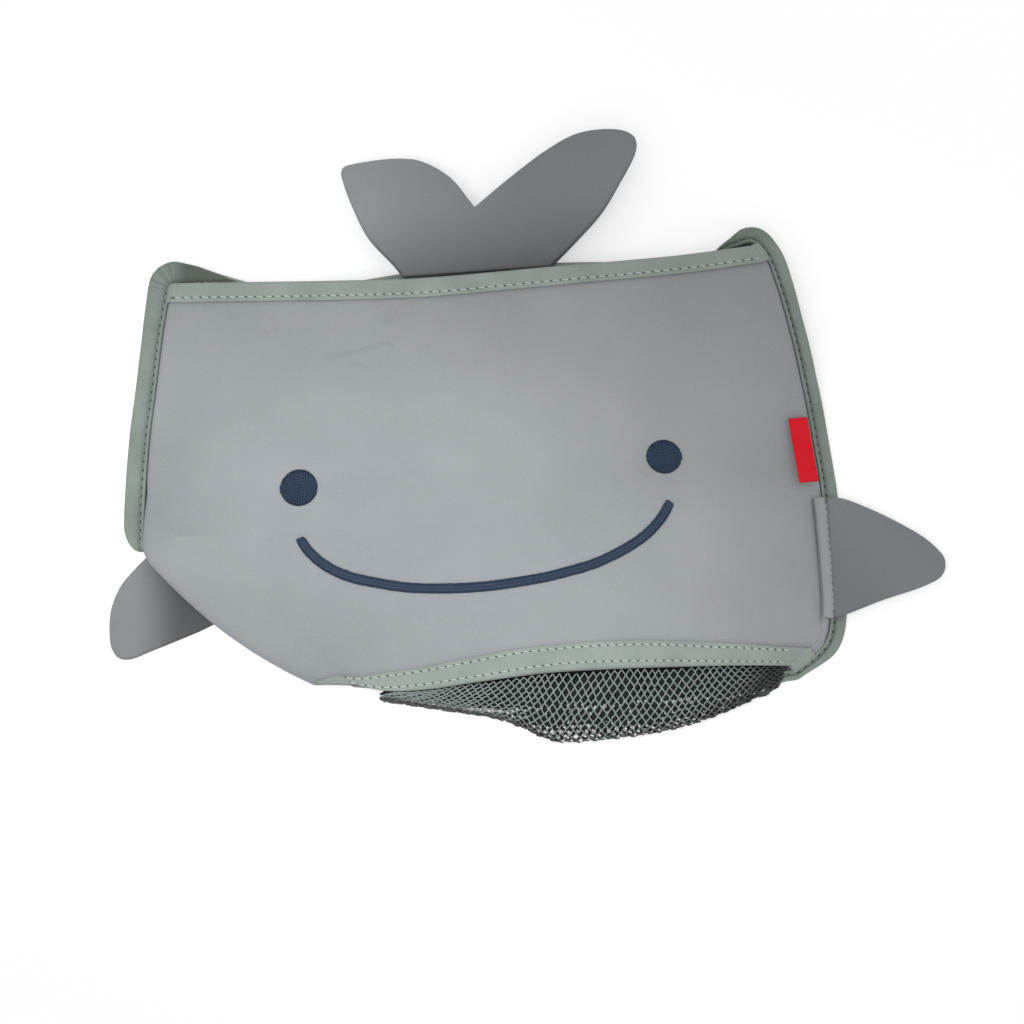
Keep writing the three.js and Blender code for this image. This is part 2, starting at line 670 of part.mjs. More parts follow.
function addLayers(parent, name, shares, width, height, sharpPoint) {
  const front = layerGeometry(shares, width, height, sharpPoint);
  const back = front.clone();
  addMesh(parent, name + "_back_layer", back, tailNeoprene);
  addMesh(parent, name + "_front_layer", front.translate(0, 0, layer.thickness + seatGap), tailNeoprene);
}

function addTail() {
  const hinge = new THREE.Group();
  const bindingTop = cupHeight + panelThickness + binding.slack + binding.tape;
  hinge.position.set(tail.baseX, tail.baseY, bindingTop + tail.lift);
  hinge.rotation.x = THREE.MathUtils.degToRad(tail.tiltDegrees);
  pouch.add(hinge);
  addLayers(hinge, "tail", tailShares, tail.width, tail.height, tailNotch);
}

// The shares of the right side's length where the right flipper's base seam starts and ends.
function rightSeamShares() {
  const topY = flipper.topShare * pouchHeight;
  return [topY, topY - flipper.base].map((y) => shareDown(sides.right, y));
}

function addRightFlipper() {
  const hinge = new THREE.Group();
  const [start, end] = rightSeamShares();
  const places = [start, mix(start, end, 0.5), end].map((v) => sides.right.edge.getPointAt(v));
  const outermost = Math.max(...places.map((place) => place.x));
  hinge.position.set(outermost + flipper.gap, (places[0].y + places[2].y) / 2, flipper.bottomZ);
  hinge.rotation.order = "ZYX";
  hinge.rotation.z = Math.atan2(places[2].x - places[0].x, flipper.base);
  hinge.rotation.y = THREE.MathUtils.degToRad(flipper.tiltDegrees);
  pouch.add(hinge);
  addLayers(hinge, "right_flipper", flipperShares, flipper.length, flipper.base);
}

// The line of the left flipper's base, under the rolled front panel. It stands off the outermost place of the
// back panel's edge beside it, by the width of the welt.
function leftSeamLine() {
  const backEdge = backSide(sides.left);
  const [first, last] = [leftFlipper.startShare, leftFlipper.endShare].map(backEdge);
  const along = last.clone().sub(first).normalize();
  const out = new THREE.Vector3(along.y, -along.x, 0);
  const middle = first.lerp(last, 0.5);
  const reach = (place, direction) => place.clone().sub(middle).dot(direction);
  const beside = evenly(leftFlipper.steps).map(backEdge)
    .filter((place) => Math.abs(reach(place, along)) <= leftFlipper.base / 2);
  const standOff = Math.max(...beside.map((place) => reach(place, out))) + welt.width + 2 * seatGap;
  return { middle: middle.addScaledVector(out, standOff), along, out };
}

function addLeftFlipper() {
  const { middle, out } = leftSeamLine();
  const hinge = new THREE.Group();
  hinge.position.copy(middle);
  hinge.rotation.z = Math.atan2(out.y, out.x);
  pouch.add(hinge);
  const mirrored = leftFlipperShares.map(([x, y]) => [x, -y]).reverse();
  addLayers(hinge, "left_flipper", mirrored, leftFlipper.length, leftFlipper.base);
}

// Welts: the rolled base seams of the flippers. The right one rides on the front panel's turned edge.
const weltShares = [
  { turn: 0.62, rise: 0.12 }, { turn: 0.76, rise: 0.75 }, { turn: 0.9, rise: 1 }, { turn: 1, rise: 0.9 },
  { turn: 1.01, rise: 0.25 },
];
function makeRightWelt() {
  const { frontStart } = sides.right;
  const [start, end] = rightSeamShares().map((share) => (share - frontStart) / (1 - frontStart));
  const rings = evenly(welt.segments).map((t) => {
    const v = mix(start, end, t);
    const over = ({ turn }, height) => {
      const frame = sheetFrame(frontPoint, 1 - turnShare * turn, v);
      return frame.point.addScaledVector(frame.normal, panelThickness / 2 + height);
    };
    const under = weltShares.map((share) => over(share, seatGap));
    const upper = weltShares.map((share) => over(share, seatGap + share.rise * welt.height));
    return under.concat(upper.reverse());
  });
  return loft(rings);
}

function makeLeftWelt() {
  const { middle, along, out } = leftSeamLine();
  const soft = welt.height / 4;
  const section = [
    [0, 0], [0, welt.height - soft], [soft, welt.height], [welt.width - soft, welt.height],
    [welt.width, welt.height - soft], [welt.width, 0], [welt.width - soft, 0], [soft, 0],
  ];
  const half = leftFlipper.base / 2;
  const rings = [-half, half].map((shift) => section.map(([deep, z]) => middle.clone()
    .addScaledVector(along, shift).addScaledVector(out, -seatGap - deep).setZ(z)));
  return loft(rings);
}

// Embroidery: a low solid pad that follows the front panel.
function makeEye([xShare, yShare]) {
  const centre = [xShare * halfWidth, yShare * pouchHeight];
  const heights = [embroideryGap + eye.height, embroideryGap];
  const points = heights.flatMap((height) => [overFront(...centre, height)].concat(
    evenly(eye.rings).slice(1).flatMap((share) => evenly(eye.spokes).slice(1).map((turn) => {
      const angle = 2 * Math.PI * turn;
      const r = eye.radius * share;
      const soft = height > embroideryGap && share === 1 ? eye.height / 2 : 0;
      return overFront(centre[0] + r * Math.cos(angle), centre[1] + r * Math.sin(angle), height - soft);
    }))));
  const layerCount = 1 + eye.rings * eye.spokes;
  const onRing = (ring, k) => (ring ? 1 + (ring - 1) * eye.spokes + k % eye.spokes : 0);
  const at = (level, ring, k) => level * layerCount + onRing(ring, k);
  const faces = [];
  for (let k = 0; k < eye.spokes; k++) {
    for (const level of [0, 1]) {
      const flip = (tri) => faces.push(level ? tri.reverse() : tri);
      flip([at(level, 0, 0), at(level, 1, k), at(level, 1, k + 1)]);
      for (let ring = 1; ring < eye.rings; ring++) {
        flip([at(level, ring, k), at(level, ring + 1, k), at(level, ring + 1, k + 1)]);
        flip([at(level, ring, k), at(level, ring + 1, k + 1), at(level, ring, k + 1)]);
      }
    }
    const [p, q] = [at(0, eye.rings, k), at(0, eye.rings, k + 1)];
    const [r, s] = [at(1, eye.rings, k), at(1, eye.rings, k + 1)];
    faces.push([p, r, s], [p, s, q]);
  }
  return outward(closedGeometry(points, faces));
}

function makeSmile() {
  const curve = outlineCurve(smileShares);
  const half = smile.width / 2;
  const rings = evenly(smile.steps).map((t) => {
    const point = curve.getPointAt(t), along = curve.getTangentAt(t);
    const fullness = Math.sqrt(1 - (2 * t - 1) ** smile.endPower);
    const reach = half * mix(smile.endWidthShare, 1, fullness);
    return smileSectionShares.map(([side, up]) => {
      const [x, y] = [point.x - along.y * side * reach, point.y + along.x * side * reach];
      return overFront(x, y, embroideryGap + up * smile.height);
    });
  });
  return loft(rings);
}

// Label: a short loop of ribbon whose outer long side is caught in the right seam.
function labelSeam(t) {
  const length = sides.right.edge.getLength();
  const at = sideAt(sides.right, label.startShare + t * label.length / length);
  return at.point.addScaledVector(at.inward, label.edgeInset + panelThickness / 2);
}
function makeLabel() {
  const base = labelSeam(0), tip = labelSeam(1);
  const along = tip.clone().sub(base).normalize();
  const inward = new THREE.Vector3(along.y, -along.x, 0);
  const corner = (t, deep) => base.clone()
    .addScaledVector(along, t * label.length)
    .addScaledVector(inward, deep);
  const highest = (deep) => Math.max(...evenly(label.steps).map((t) => {
    const place = corner(t, deep);
    return overFront(place.x, place.y, 2 * seatGap).z;
  }));
  const outerZ = highest(label.edgeInset);
  const innerZ = highest(label.width) + label.thickness;
  const rings = evenly(label.steps).map((t) => [
    corner(t, 0).setZ(outerZ), corner(t, label.width).setZ(innerZ),
    corner(t, label.width).setZ(innerZ + label.thickness), corner(t, 0).setZ(outerZ + label.thickness),
  ]);
  return loft(rings);
}

// Suction cups and eyelets, turned profiles about the cup's own axis.
function turned(profile, segments) {
  const geometry = new THREE.LatheGeometry(profile.map(([r, z]) => new THREE.Vector2(r, z)), segments);
  return outward(geometryFrom(solidFrom(geometry.rotateX(Math.PI / 2))));
}

function makeEyelet() {
  const { bore, wall, flange: reach, flangeThickness } = eyelet;
  const under = cupHeight - seatGap, over = cupHeight + panelThickness + seatGap;
  return turned([
    [bore, under - flangeThickness], [reach, under - flangeThickness], [reach, under], [bore + wall, under],
    [bore + wall, over], [reach, over], [reach, over + flangeThickness], [bore, over + flangeThickness],
    [bore, under - flangeThickness],
  ], eyelet.segments);
}

function makeCup() {
  const { radius, rimWidth, rimHeight, shoulder, neck, knob, knobHeight, knobTopShare, hollow } = cup;
  const under = cupHeight - 2 * seatGap - eyelet.flangeThickness;
  const over = cupHeight + panelThickness + 2 * seatGap + eyelet.flangeThickness;
  return turned([
    [0, hollow], ...cupHollowShares.map(([r, z]) => [r * radius, z * hollow]),
    [radius - rimWidth, 0], [radius, 0], [radius, rimHeight],
    ...cupBellShares.map(([r, z]) => [r * radius, z * under]),
    [shoulder, under], [neck, under], [neck, over], [knob, over],
    [knob, over + knobHeight * knobTopShare], [knob * knobTopShare, over + knobHeight],
    [0, over + knobHeight],
  ], cup.segments);
}

// Assembly

addMesh(pouch, "front_panel", makeFrontPanel(), neoprene);
addMesh(pouch, "back_panel", makeBackPanel(), neoprene);
addMesh(pouch, "front_top_binding", makeFrontTopBinding(), tape);
addMesh(pouch, "front_bottom_tape", makeFrontBottomTape(), tape);
addMesh(pouch, "back_top_binding", makeBackTopBinding(), tape);
addMesh(pouch, "left_side_binding", makeLeftBinding(), tape);
addMesh(pouch, "right_side_binding", makeRightBinding(), tape);
addMesh(pouch, "back_bottom_binding", makeBottomBinding(), tape);
addMesh(pouch, "mesh_bottom", makeNet(), netYarn);
addTail();
addRightFlipper();
addLeftFlipper();
addMesh(pouch, "right_flipper_welt", makeRightWelt(), neoprene);
addMesh(pouch, "left_flipper_welt", makeLeftWelt(), neoprene);
addMesh(pouch, "left_eye_embroidery", makeEye(eyeShares[0]), thread);
addMesh(pouch, "right_eye_embroidery", makeEye(eyeShares[1]), thread);
addMesh(pouch, "smile_embroidery", makeSmile(), thread);
addMesh(pouch, "woven_label", makeLabel(), labelWeave);
cupPlaces().forEach((place, i) => {
  addMesh(pouch, `eyelet_${i + 1}`, makeEyelet(), eyeletPlastic).position.copy(place);
  addMesh(pouch, `suction_cup_${i + 1}`, makeCup(), clearVinyl).position.copy(place);
});

export default wholePart;
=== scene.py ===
import math

import bpy
import numpy as np
from mathutils import Matrix, Vector


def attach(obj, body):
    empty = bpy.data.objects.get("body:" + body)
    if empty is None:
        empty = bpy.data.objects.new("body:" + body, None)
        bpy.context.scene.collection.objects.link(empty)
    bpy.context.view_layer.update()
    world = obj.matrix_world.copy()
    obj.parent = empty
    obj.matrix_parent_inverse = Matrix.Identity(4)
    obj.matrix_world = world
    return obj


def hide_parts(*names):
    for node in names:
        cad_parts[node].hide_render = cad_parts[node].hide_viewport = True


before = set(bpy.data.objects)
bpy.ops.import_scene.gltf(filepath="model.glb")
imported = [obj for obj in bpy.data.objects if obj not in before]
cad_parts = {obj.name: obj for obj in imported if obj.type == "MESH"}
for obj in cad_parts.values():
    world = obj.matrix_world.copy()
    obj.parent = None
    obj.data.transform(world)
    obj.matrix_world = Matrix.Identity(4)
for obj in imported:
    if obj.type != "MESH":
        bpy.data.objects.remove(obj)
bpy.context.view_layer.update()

# A whale-shaped bath toy pouch, lying on its back. The shapes are worked out in millimetres in the pouch's
# own frame, whose y is 0 at the front's top edge, and buildMesh turns them into metres in the CAD's frame.

random = np.random.default_rng(11)

pouch = {  # what the panels and all that is sewn to them share, mm
    "width": 340.0, "height": 212.0, "restDrop": 155.0,
    "panel": 3.0,  # thickness of the neoprene
    "seatGap": 0.3, "cupHeight": 11.0, "seamHeight": 5.2,
    "mouthBulge": 10.0, "bellyBulge": 21.0, "bellyPower": 2.2,
    "edgeRadius": 2.3, "rollWidth": 19.0, "rollRadius": 6.0, "rollSeamHeight": 8.5,
    "rollSag": 0.7, "hiddenMargin": 3.0,
    "rollStart": 0.44, "rollEnd": 0.585, "tapeTurn": 0.76,  # shares of the left side's length
    "liftStart": -0.5, "liftEnd": -0.215,  # shares of the height
    "turnShare": 6 / 27,  # of the front's columns, on each side
}
halfWidth = pouch["width"] / 2
tapeDirection = np.array([1.0, -0.12]) / math.hypot(1, 0.12)

outlines = {  # shares of half the width and of the height
    "left": [
        (-0.876, 0.045), (-0.877, 0.01), (-0.905, -0.092), (-0.939, -0.25), (-0.962, -0.335),
        (-0.986, -0.448), (-0.999, -0.56), (-0.998, -0.635), (-0.945, -0.695), (-0.812, -0.806),
        (-0.704, -0.877), (-0.61, -0.926), (-0.53, -0.962)],
    "right": [
        (0.862, 0.02), (0.872, 0.004), (0.893, -0.026), (0.92, -0.105), (0.944, -0.208), (0.964, -0.31),
        (0.982, -0.41), (1.001, -0.595), (1.003, -0.75), (0.996, -0.885), (0.976, -0.943),
        (0.941, -0.972), (0.88, -1.008)],
    "frontTop": [
        (-0.872, 0.006), (-0.6, -0.012), (-0.41, -0.023), (-0.135, -0.033), (0.25, -0.026),
        (0.63, -0.014), (0.868, 0.004)],
    "frontBottom": [
        (-0.41, -0.976), (-0.32, -0.997), (-0.2, -1.003), (-0.045, -0.997), (0.165, -0.99),
        (0.374, -0.994), (0.586, -1.001), (0.88, -1.008)],
    "backTop": [
        (-0.876, 0.045), (-0.83, 0.052), (-0.79, 0.046), (-0.735, 0.029), (-0.6, -0.007),
        (-0.41, -0.016), (-0.19, -0.002), (0.04, 0.005), (0.3, -0.002), (0.63, -0.014),
        (0.75, -0.003), (0.8, 0.013), (0.862, 0.02)],
    "backBottom": [
        (-0.41, -0.965), (-0.25, -0.985), (0.0, -1.0), (0.35, -1.008), (0.65, -1.014), (0.86, -1.01)],
    "net": [
        (-0.335, -1.008), (-0.23, -1.029), (-0.104, -1.052), (-0.01, -1.072), (0.07, -1.1),
        (0.13, -1.128), (0.18, -1.142), (0.31, -1.143), (0.467, -1.135), (0.574, -1.12),
        (0.683, -1.093), (0.767, -1.066), (0.84, -1.035)],
    "smile": [
        (-0.535, -0.628), (-0.511, -0.661), (-0.461, -0.7), (-0.394, -0.73), (-0.321, -0.749),
        (-0.234, -0.766), (-0.146, -0.774), (0.0, -0.778), (0.146, -0.77), (0.215, -0.761),
        (0.335, -0.738), (0.456, -0.69), (0.516, -0.646), (0.547, -0.608)],
}


def smoothStep(t):
    # Eases in and out between 0 and 1: three squares less two cubes.
    s = np.clip(t, 0, 1)
    return s * s * (3 - 2 * s)


def mix(a, b, t):
    return a + (b - a) * t


def eased(value, start, end):
    return smoothStep((value - start) / (end - start))


def unit(vectors):
    return vectors / np.maximum(np.linalg.norm(vectors, axis=-1, keepdims=True), 1e-12)


def bell(distance, width):
    # 1 at no distance, falling off as the exponent of its negative square.
    return np.exp(-((distance / width) ** 2))


def runLength(path):
    # How far each point of a path lies along it.
    return np.concatenate([[0], np.cumsum(np.linalg.norm(np.diff(path, axis=0), axis=-1))])


def between(at, known, values):
    # Columns of values at new places, on straight lines between the known ones.
    return np.stack([np.interp(at, known, values[:, k]) for k in range(values.shape[1])], -1)


# Curves


def smoothCurve(points, perSpan=40):
    # Centripetal Catmull-Rom: each span is a cubic whose end slopes weigh its neighbours by the square
    # root of their distances. The result is dense places with their share of the whole length.
    p = np.asarray(points, float)
    p = np.vstack([2 * p[0] - p[1], p, 2 * p[-1] - p[-2]])
    gap = np.maximum(np.linalg.norm(np.diff(p, axis=0), axis=1), 1e-9)[:, None] ** 0.5
    d0, d1, d2 = gap[:-2], gap[1:-1], gap[2:]
    p0, p1, p2, p3 = p[:-3], p[1:-2], p[2:-1], p[3:]
    startSlope = ((p1 - p0) / d0 - (p2 - p0) / (d0 + d1) + (p2 - p1) / d1) * d1
    endSlope = ((p2 - p1) / d1 - (p3 - p1) / (d1 + d2) + (p3 - p2) / d2) * d1
    t = np.linspace(0, 1, perSpan, endpoint=False)[None, :, None]
    a, b, m, n = p1[:, None], p2[:, None], startSlope[:, None], endSlope[:, None]
    dense = a + m * t + (3 * (b - a) - 2 * m - n) * t**2 + (2 * (a - b) + m + n) * t**3
    dense = np.vstack([dense.reshape(-1, p.shape[1]), p[-2]])
    length = runLength(dense)
    return {
        "share": length / length[-1],
        "place": dense,
        "along": unit(np.gradient(dense, length, axis=0)),
        "length": length[-1],
    }


def onCurve(curve, share, what="place"):
    return between(share, curve["share"], curve[what])


def shareCurve(name):
    return smoothCurve(np.array(outlines[name]) * [halfWidth, pouch["height"]])


curves = {name: shareCurve(name) for name in outlines}


# The pouch's surfaces, as functions of two shares


def backLift(y):
    # The back panel's underside: level low down, rising in an eased step to the height of the cups.
    return pouch["cupHeight"] * eased(y / pouch["height"], pouch["liftStart"], pouch["liftEnd"])


def shareDown(side, y):
    # The share of a side's length at which it has come down to y.
    curve = curves[side]
    return float(np.interp(-y, -curve["place"][:, 1], curve["share"]))


def startOfFront(side):
    # The share of a side's length where the front panel's top corner lies.
    return shareDown(side, outlines["frontTop"][0 if side == "left" else -1][1] * pouch["height"])


def sideAt(side, v):
    # A side's edge: its place, the direction into the pouch, and how the front turns under there.
    v = np.asarray(v, float)
    place = onCurve(curves[side], v)
    along = unit(onCurve(curves[side], v, "along"))
    inward = np.stack([-along[..., 1], along[..., 0]], -1) * (1 if side == "left" else -1)
    roll = eased(v, pouch["rollStart"], pouch["rollEnd"]) * (side == "left")
    turn = (eased(v, pouch["tapeTurn"], 1) * (roll > 0))[..., None]
    inward = unit(mix(inward, tapeDirection, turn))
    inset = mix(pouch["edgeRadius"], pouch["rollWidth"], roll)
    radius = mix(pouch["edgeRadius"], pouch["rollRadius"], roll)
    seam = mix(backLift(place[..., 1]) + pouch["seamHeight"], pouch["rollSeamHeight"], roll)
    return place, inward, inset, radius, seam, roll


frontStart = {side: startOfFront(side) for side in ("left", "right")}
innerSteps = np.linspace(0, 1, 801)


def innerEdge(side, smoothing=0.09):
    # Where the turned edge ends over the front, evened out by a moving average, because the left side
    # bends tighter than the roll is wide.
    place, inward, inset, *_ = sideAt(side, mix(frontStart[side], 1, innerSteps))
    flat = place + inward * (inset + pouch["panel"] / 2)[..., None]
    if side == "right":
        return flat
    reach = int(smoothing * (len(innerSteps) - 1))
    weights = np.hanning(2 * reach + 1)
    weights /= weights.sum()
    padded = np.concatenate([2 * flat[0] - flat[reach:0:-1], flat, 2 * flat[-1] - flat[-2:-reach - 2:-1]])
    return np.stack([np.convolve(padded[:, k], weights, "valid") for k in range(2)], -1)


innerEdges = {side: innerEdge(side) for side in ("left", "right")}


def turnedEdge(side, q, v):
    # Half a circle from the seam (q = 0) up to the bulge (q = 1), drawn out flat towards both ends by a
    # cube of the distance from its nose where the side is rolled under.
    v = np.asarray(v, float)
    place, _, inset, radius, seam, _ = sideAt(side, mix(frontStart[side], 1, v))
    angle = np.pi * (q - 0.5)
    flatRun = (inset - radius) * np.abs(2 * q - 1) ** 3
    reach = radius * (1 - np.cos(angle)) + flatRun + pouch["panel"] / 2
    share = reach / (inset + pouch["panel"] / 2)
    inner = between(v, innerSteps, innerEdges[side])
    flat = mix(place, inner, share[..., None])
    return np.concatenate([flat, (seam + radius * (1 + np.sin(angle)))[..., None]], -1)


def patch(left, right, top, bottom, u, v):
    # Coons patch: both pairs of edges blended, less the corners, with the top and bottom curves pinned
    # to the ends of the sides.
    corners = [edge(np.float64(end)) for edge in (left, right) for end in (0, 1)]
    leftTop, leftBottom, rightTop, rightBottom = corners
    u1, v1 = u[..., None], v[..., None]

    def pinned(curve, start, end):
        atStart, atEnd = onCurve(curve, 0.0), onCurve(curve, 1.0)
        return onCurve(curve, u) + (start - atStart) * (1 - u1) + (end - atEnd) * u1

    blended = mix(pinned(top, leftTop, rightTop), pinned(bottom, leftBottom, rightBottom), v1)
    blended = blended + mix(left(v), right(v), u1)
    return blended - mix(mix(leftTop, rightTop, u1), mix(leftBottom, rightBottom, u1), v1)


frontMarks = {  # what the front panel keeps from lying and being sewn, mm
    "rings": [  # x, y and height, pressed in by the cups
        (-103.0, -25.5, 0.9), (-41.3, -25.0, 0.8), (41.3, -25.0, 0.2), (101.0, -27.5, 0.15)],
    "ringRadius": 4.7, "ringWidth": 1.1,
    "dip": 0.3, "dipRadius": 0.55,  # inside a ring, as shares of its height and radius
    "fold": [(16.0, -12.0), (14.9, -38.0), (18.2, -83.0), (21.7, -118.0), (20.6, -168.0)],
    "foldDepth": 1.05, "foldWidth": 1.4, "foldShoulder": 8.0,
    "foldDip": 0.8, "foldFade": 0.75, "foldFadeOver": (1.0, 3.5),  # shares, and counts of its corners
    "creases": [  # from x, y to x, y, and height
        (-72, -46.5, -40, -40.8, 1.1), (-58.5, -47.0, -54.0, -50.5, -0.7)],
    "creaseWidth": 1.0,
    "waves": [  # height, length, slope and start
        (0.5, 131.0, 0.4, 0.3), (0.35, 88.0, -0.8, 1.9), (0.3, 61.0, 1.3, 4.0)],
    "wavesOver": (0, -50), "calmX": (-60, -110), "calmY": (-120, -165),  # still at the top and the roll
    "pucker": 0.55, "puckerWidth": 4.2,
    # Shares across and down over which all of these come in
    "clearLeft": (0, 0.05), "clearRight": (1, 0.95), "clearTop": (0.03, 0.1), "clearBottom": (1.0, 0.93),
    # The right base seam, whose place and widths are shares across
    "seamAt": 0.9962, "seamWidth": 0.003, "seamReach": 0.014, "seamReachShare": 0.5,
    "seamDepth": 1.2, "seamTop": (-126, -131), "seamBottom": (-194, -189),
}
eyes = {  # satin stitch, mm
    "places": [(-0.528, -0.51), (0.54, -0.498)],  # shares of half the width and of the height
    "radius": 9.1, "radii": [9.45, 8.75],  # the cloth is drawn in from the first, the threads fill the others
    "pitch": 0.74, "threadWidth": 0.78, "threadHeight": 0.62, "pad": 0.42, "ragged": 0.3,
    "sway": 0.1, "over": 0.1, "dip": 0.5, "uneven": 0.13,
}


def lineDistance(x, y, points):
    # Distance from a place to a chain of straight pieces, and how far along the chain it is nearest.
    starts, ends = np.asarray(points[:-1], float), np.asarray(points[1:], float)
    here = np.stack([x, y], -1)[..., None, :]
    run = ends - starts
    t = np.clip(((here - starts) * run).sum(-1) / (run**2).sum(-1), 0, 1)
    gaps = np.linalg.norm(here - starts - run * t[..., None], axis=-1)
    nearest = gaps.argmin(-1)
    along = np.take_along_axis(t, nearest[..., None], -1)[..., 0] + nearest
    return gaps.min(-1), along


def frontRelief(x, y):
    # Ring marks, a worn fold, small creases, slow waves and the pucker round the embroidery, all as bell
    # curves of a distance.
    marks = frontMarks
    lift = np.zeros_like(x)
    for ringX, ringY, height in marks["rings"]:
        away = np.hypot(x - ringX, y - ringY)
        dip = marks["dip"] * bell(away, marks["dipRadius"] * marks["ringRadius"])
        lift += height * (bell(away - marks["ringRadius"], marks["ringWidth"]) - dip)
    away, along = lineDistance(x, y, marks["fold"])
    fade = 1 - marks["foldFade"] * eased(along, *marks["foldFadeOver"])
    lift += fade * marks["foldDepth"] * (
        bell(away, marks["foldShoulder"]) - marks["foldDip"] * bell(away, marks["foldWidth"]))
    for x0, y0, x1, y1, height in marks["creases"]:
        away, _ = lineDistance(x, y, [(x0, y0), (x1, y1)])
        lift += height * bell(away, marks["creaseWidth"])
    calm = 1 - eased(x, *marks["calmX"]) * eased(y, *marks["calmY"])
    for height, length, slope, start in marks["waves"]:
        wave = np.sin(2 * np.pi * (x + slope * y) / length + start)
        lift += height * wave * eased(y, *marks["wavesOver"]) * calm
    away, _ = lineDistance(x, y, curves["smile"]["place"][::20])
    lift -= marks["pucker"] * bell(away, marks["puckerWidth"])
    for shareX, shareY in eyes["places"]:
        away = np.hypot(x - shareX * halfWidth, y - shareY * pouch["height"])
        lift -= marks["pucker"] * bell(np.maximum(away - eyes["radius"], 0), marks["puckerWidth"])
    return lift


def frontPlace(c, v, relief=True):
    # The front panel's middle surface: a turned edge at each side and between them a bulge that falls
    # off as a power of the distance from the middle.
    c, v = np.broadcast_arrays(np.asarray(c, float), np.asarray(v, float))
    turn = pouch["turnShare"]
    left = turnedEdge("left", np.clip(c / turn, 0, 1), v)
    right = turnedEdge("right", np.clip((1 - c) / turn, 0, 1), v)
    u = np.clip((c - turn) / (1 - 2 * turn), 0, 1)
    one = np.float64(1)
    leftTop, rightTop = turnedEdge("left", one, v), turnedEdge("right", one, v)
    flat = patch(
        lambda s: turnedEdge("left", one, s)[..., :2], lambda s: turnedEdge("right", one, s)[..., :2],
        curves["frontTop"], curves["frontBottom"], u, v)
    roll = eased(v, pouch["rollStart"], pouch["rollEnd"])
    rise = mix(pouch["mouthBulge"], pouch["bellyBulge"], smoothStep(2 * v))
    rise = rise * (1 - pouch["rollSag"] * roll * (1 - u) ** 2)
    z = mix(leftTop[..., 2], rightTop[..., 2], u) + rise * (1 - np.abs(2 * u - 1) ** pouch["bellyPower"])
    middle = np.concatenate([flat, z[..., None]], -1)
    place = np.where((c < turn)[..., None], left, np.where((c > 1 - turn)[..., None], right, middle))
    if relief:
        marks, y = frontMarks, place[..., 1]
        inner = (eased(u, *marks["clearLeft"]) * eased(u, *marks["clearRight"])
                 * eased(v, *marks["clearTop"]) * eased(v, *marks["clearBottom"]))
        place[..., 2] += frontRelief(place[..., 0], y) * inner
        # The right base seam draws the cloth in beside it.
        off = np.where(c <= 1 - turn, u - marks["seamAt"], np.inf)
        drawn = bell(off, marks["seamWidth"]) + marks["seamReachShare"] * bell(off, marks["seamReach"])
        depth = marks["seamDepth"] * drawn * eased(y, *marks["seamTop"]) * eased(y, *marks["seamBottom"])
        place[..., 2] -= depth
    return place


def backSide(side):
    def edge(v):
        place, inward, inset, _, _, roll = sideAt(side, v)
        reach = inset - pouch["edgeRadius"] + pouch["seatGap"] + roll * pouch["hiddenMargin"]
        return place + inward * np.asarray(reach)[..., None]
    return edge


def backPlace(u, v):
    # The back panel's middle surface: a flat patch lifted by backLift.
    u, v = np.broadcast_arrays(np.asarray(u, float), np.asarray(v, float))
    flat = patch(backSide("left"), backSide("right"), curves["backTop"], curves["backBottom"], u, v)
    return np.concatenate([flat, (backLift(flat[..., 1]) + pouch["panel"] / 2)[..., None]], -1)


def surfaceFrame(place, a, b, step=0.002):
    # A place with its two unit directions and its normal, from differences on both sides.
    a, b = np.broadcast_arrays(np.asarray(a, float), np.asarray(b, float))
    across = place(np.minimum(a + step, 1), b) - place(np.maximum(a - step, 0), b)
    down = place(a, np.minimum(b + step, 1)) - place(a, np.maximum(b - step, 0))
    return place(a, b), unit(across), unit(down), unit(np.cross(down, across))


search = {  # finding the front's shares under a flat place
    "grid": 60, "margin": 0.004, "lowest": 0.002, "rounds": 8, "slope": 0.002, "longest": 0.02, "batch": 2000,
}
edgeMargin = pouch["turnShare"] / 2 + search["margin"]
searchC, searchV = np.meshgrid(np.linspace(edgeMargin, 1 - edgeMargin, search["grid"]),
                               np.linspace(search["margin"], 1 - search["margin"], search["grid"]))
searchPlaces = frontPlace(searchC, searchV, relief=False)[..., :2].reshape(-1, 2)


def frontShares(x, y):
    # The front panel's two shares over a flat place: the nearest of a grid, then Newton's steps.
    x, y = np.broadcast_arrays(np.asarray(x, float), np.asarray(y, float))
    target = np.stack([x.ravel(), y.ravel()], -1)
    nearest = np.concatenate([
        ((some[:, None] - searchPlaces[None]) ** 2).sum(-1).argmin(-1)
        for some in np.array_split(target, max(1, len(target) // search["batch"]))])
    c, v = searchC.ravel()[nearest], searchV.ravel()[nearest]
    step, longest = search["slope"], search["longest"]
    for _ in range(search["rounds"]):
        here = frontPlace(c, v, relief=False)[:, :2]
        slopeC = (frontPlace(c + step, v, relief=False)[:, :2] - here) / step
        slopeV = (frontPlace(c, v + step, relief=False)[:, :2] - here) / step
        miss = target - here
        area = slopeC[:, 0] * slopeV[:, 1] - slopeV[:, 0] * slopeC[:, 1]
        moveC = (miss[:, 0] * slopeV[:, 1] - miss[:, 1] * slopeV[:, 0]) / area
        moveV = (slopeC[:, 0] * miss[:, 1] - slopeC[:, 1] * miss[:, 0]) / area
        c = np.clip(c + np.clip(moveC, -longest, longest), edgeMargin, 1 - edgeMargin)
        v = np.clip(v + np.clip(moveV, -longest, longest), search["lowest"], 1 - search["margin"])
    return c.reshape(x.shape), v.reshape(x.shape)


def overFront(x, y, height=0.0):
    # Places at a height over the front panel's face, with the normal there.
    c, v = frontShares(x, y)
    place, _, _, normal = surfaceFrame(frontPlace, c, v)
    return place + normal * (pouch["panel"] / 2 + np.asarray(height)[..., None]), normal


# Meshes


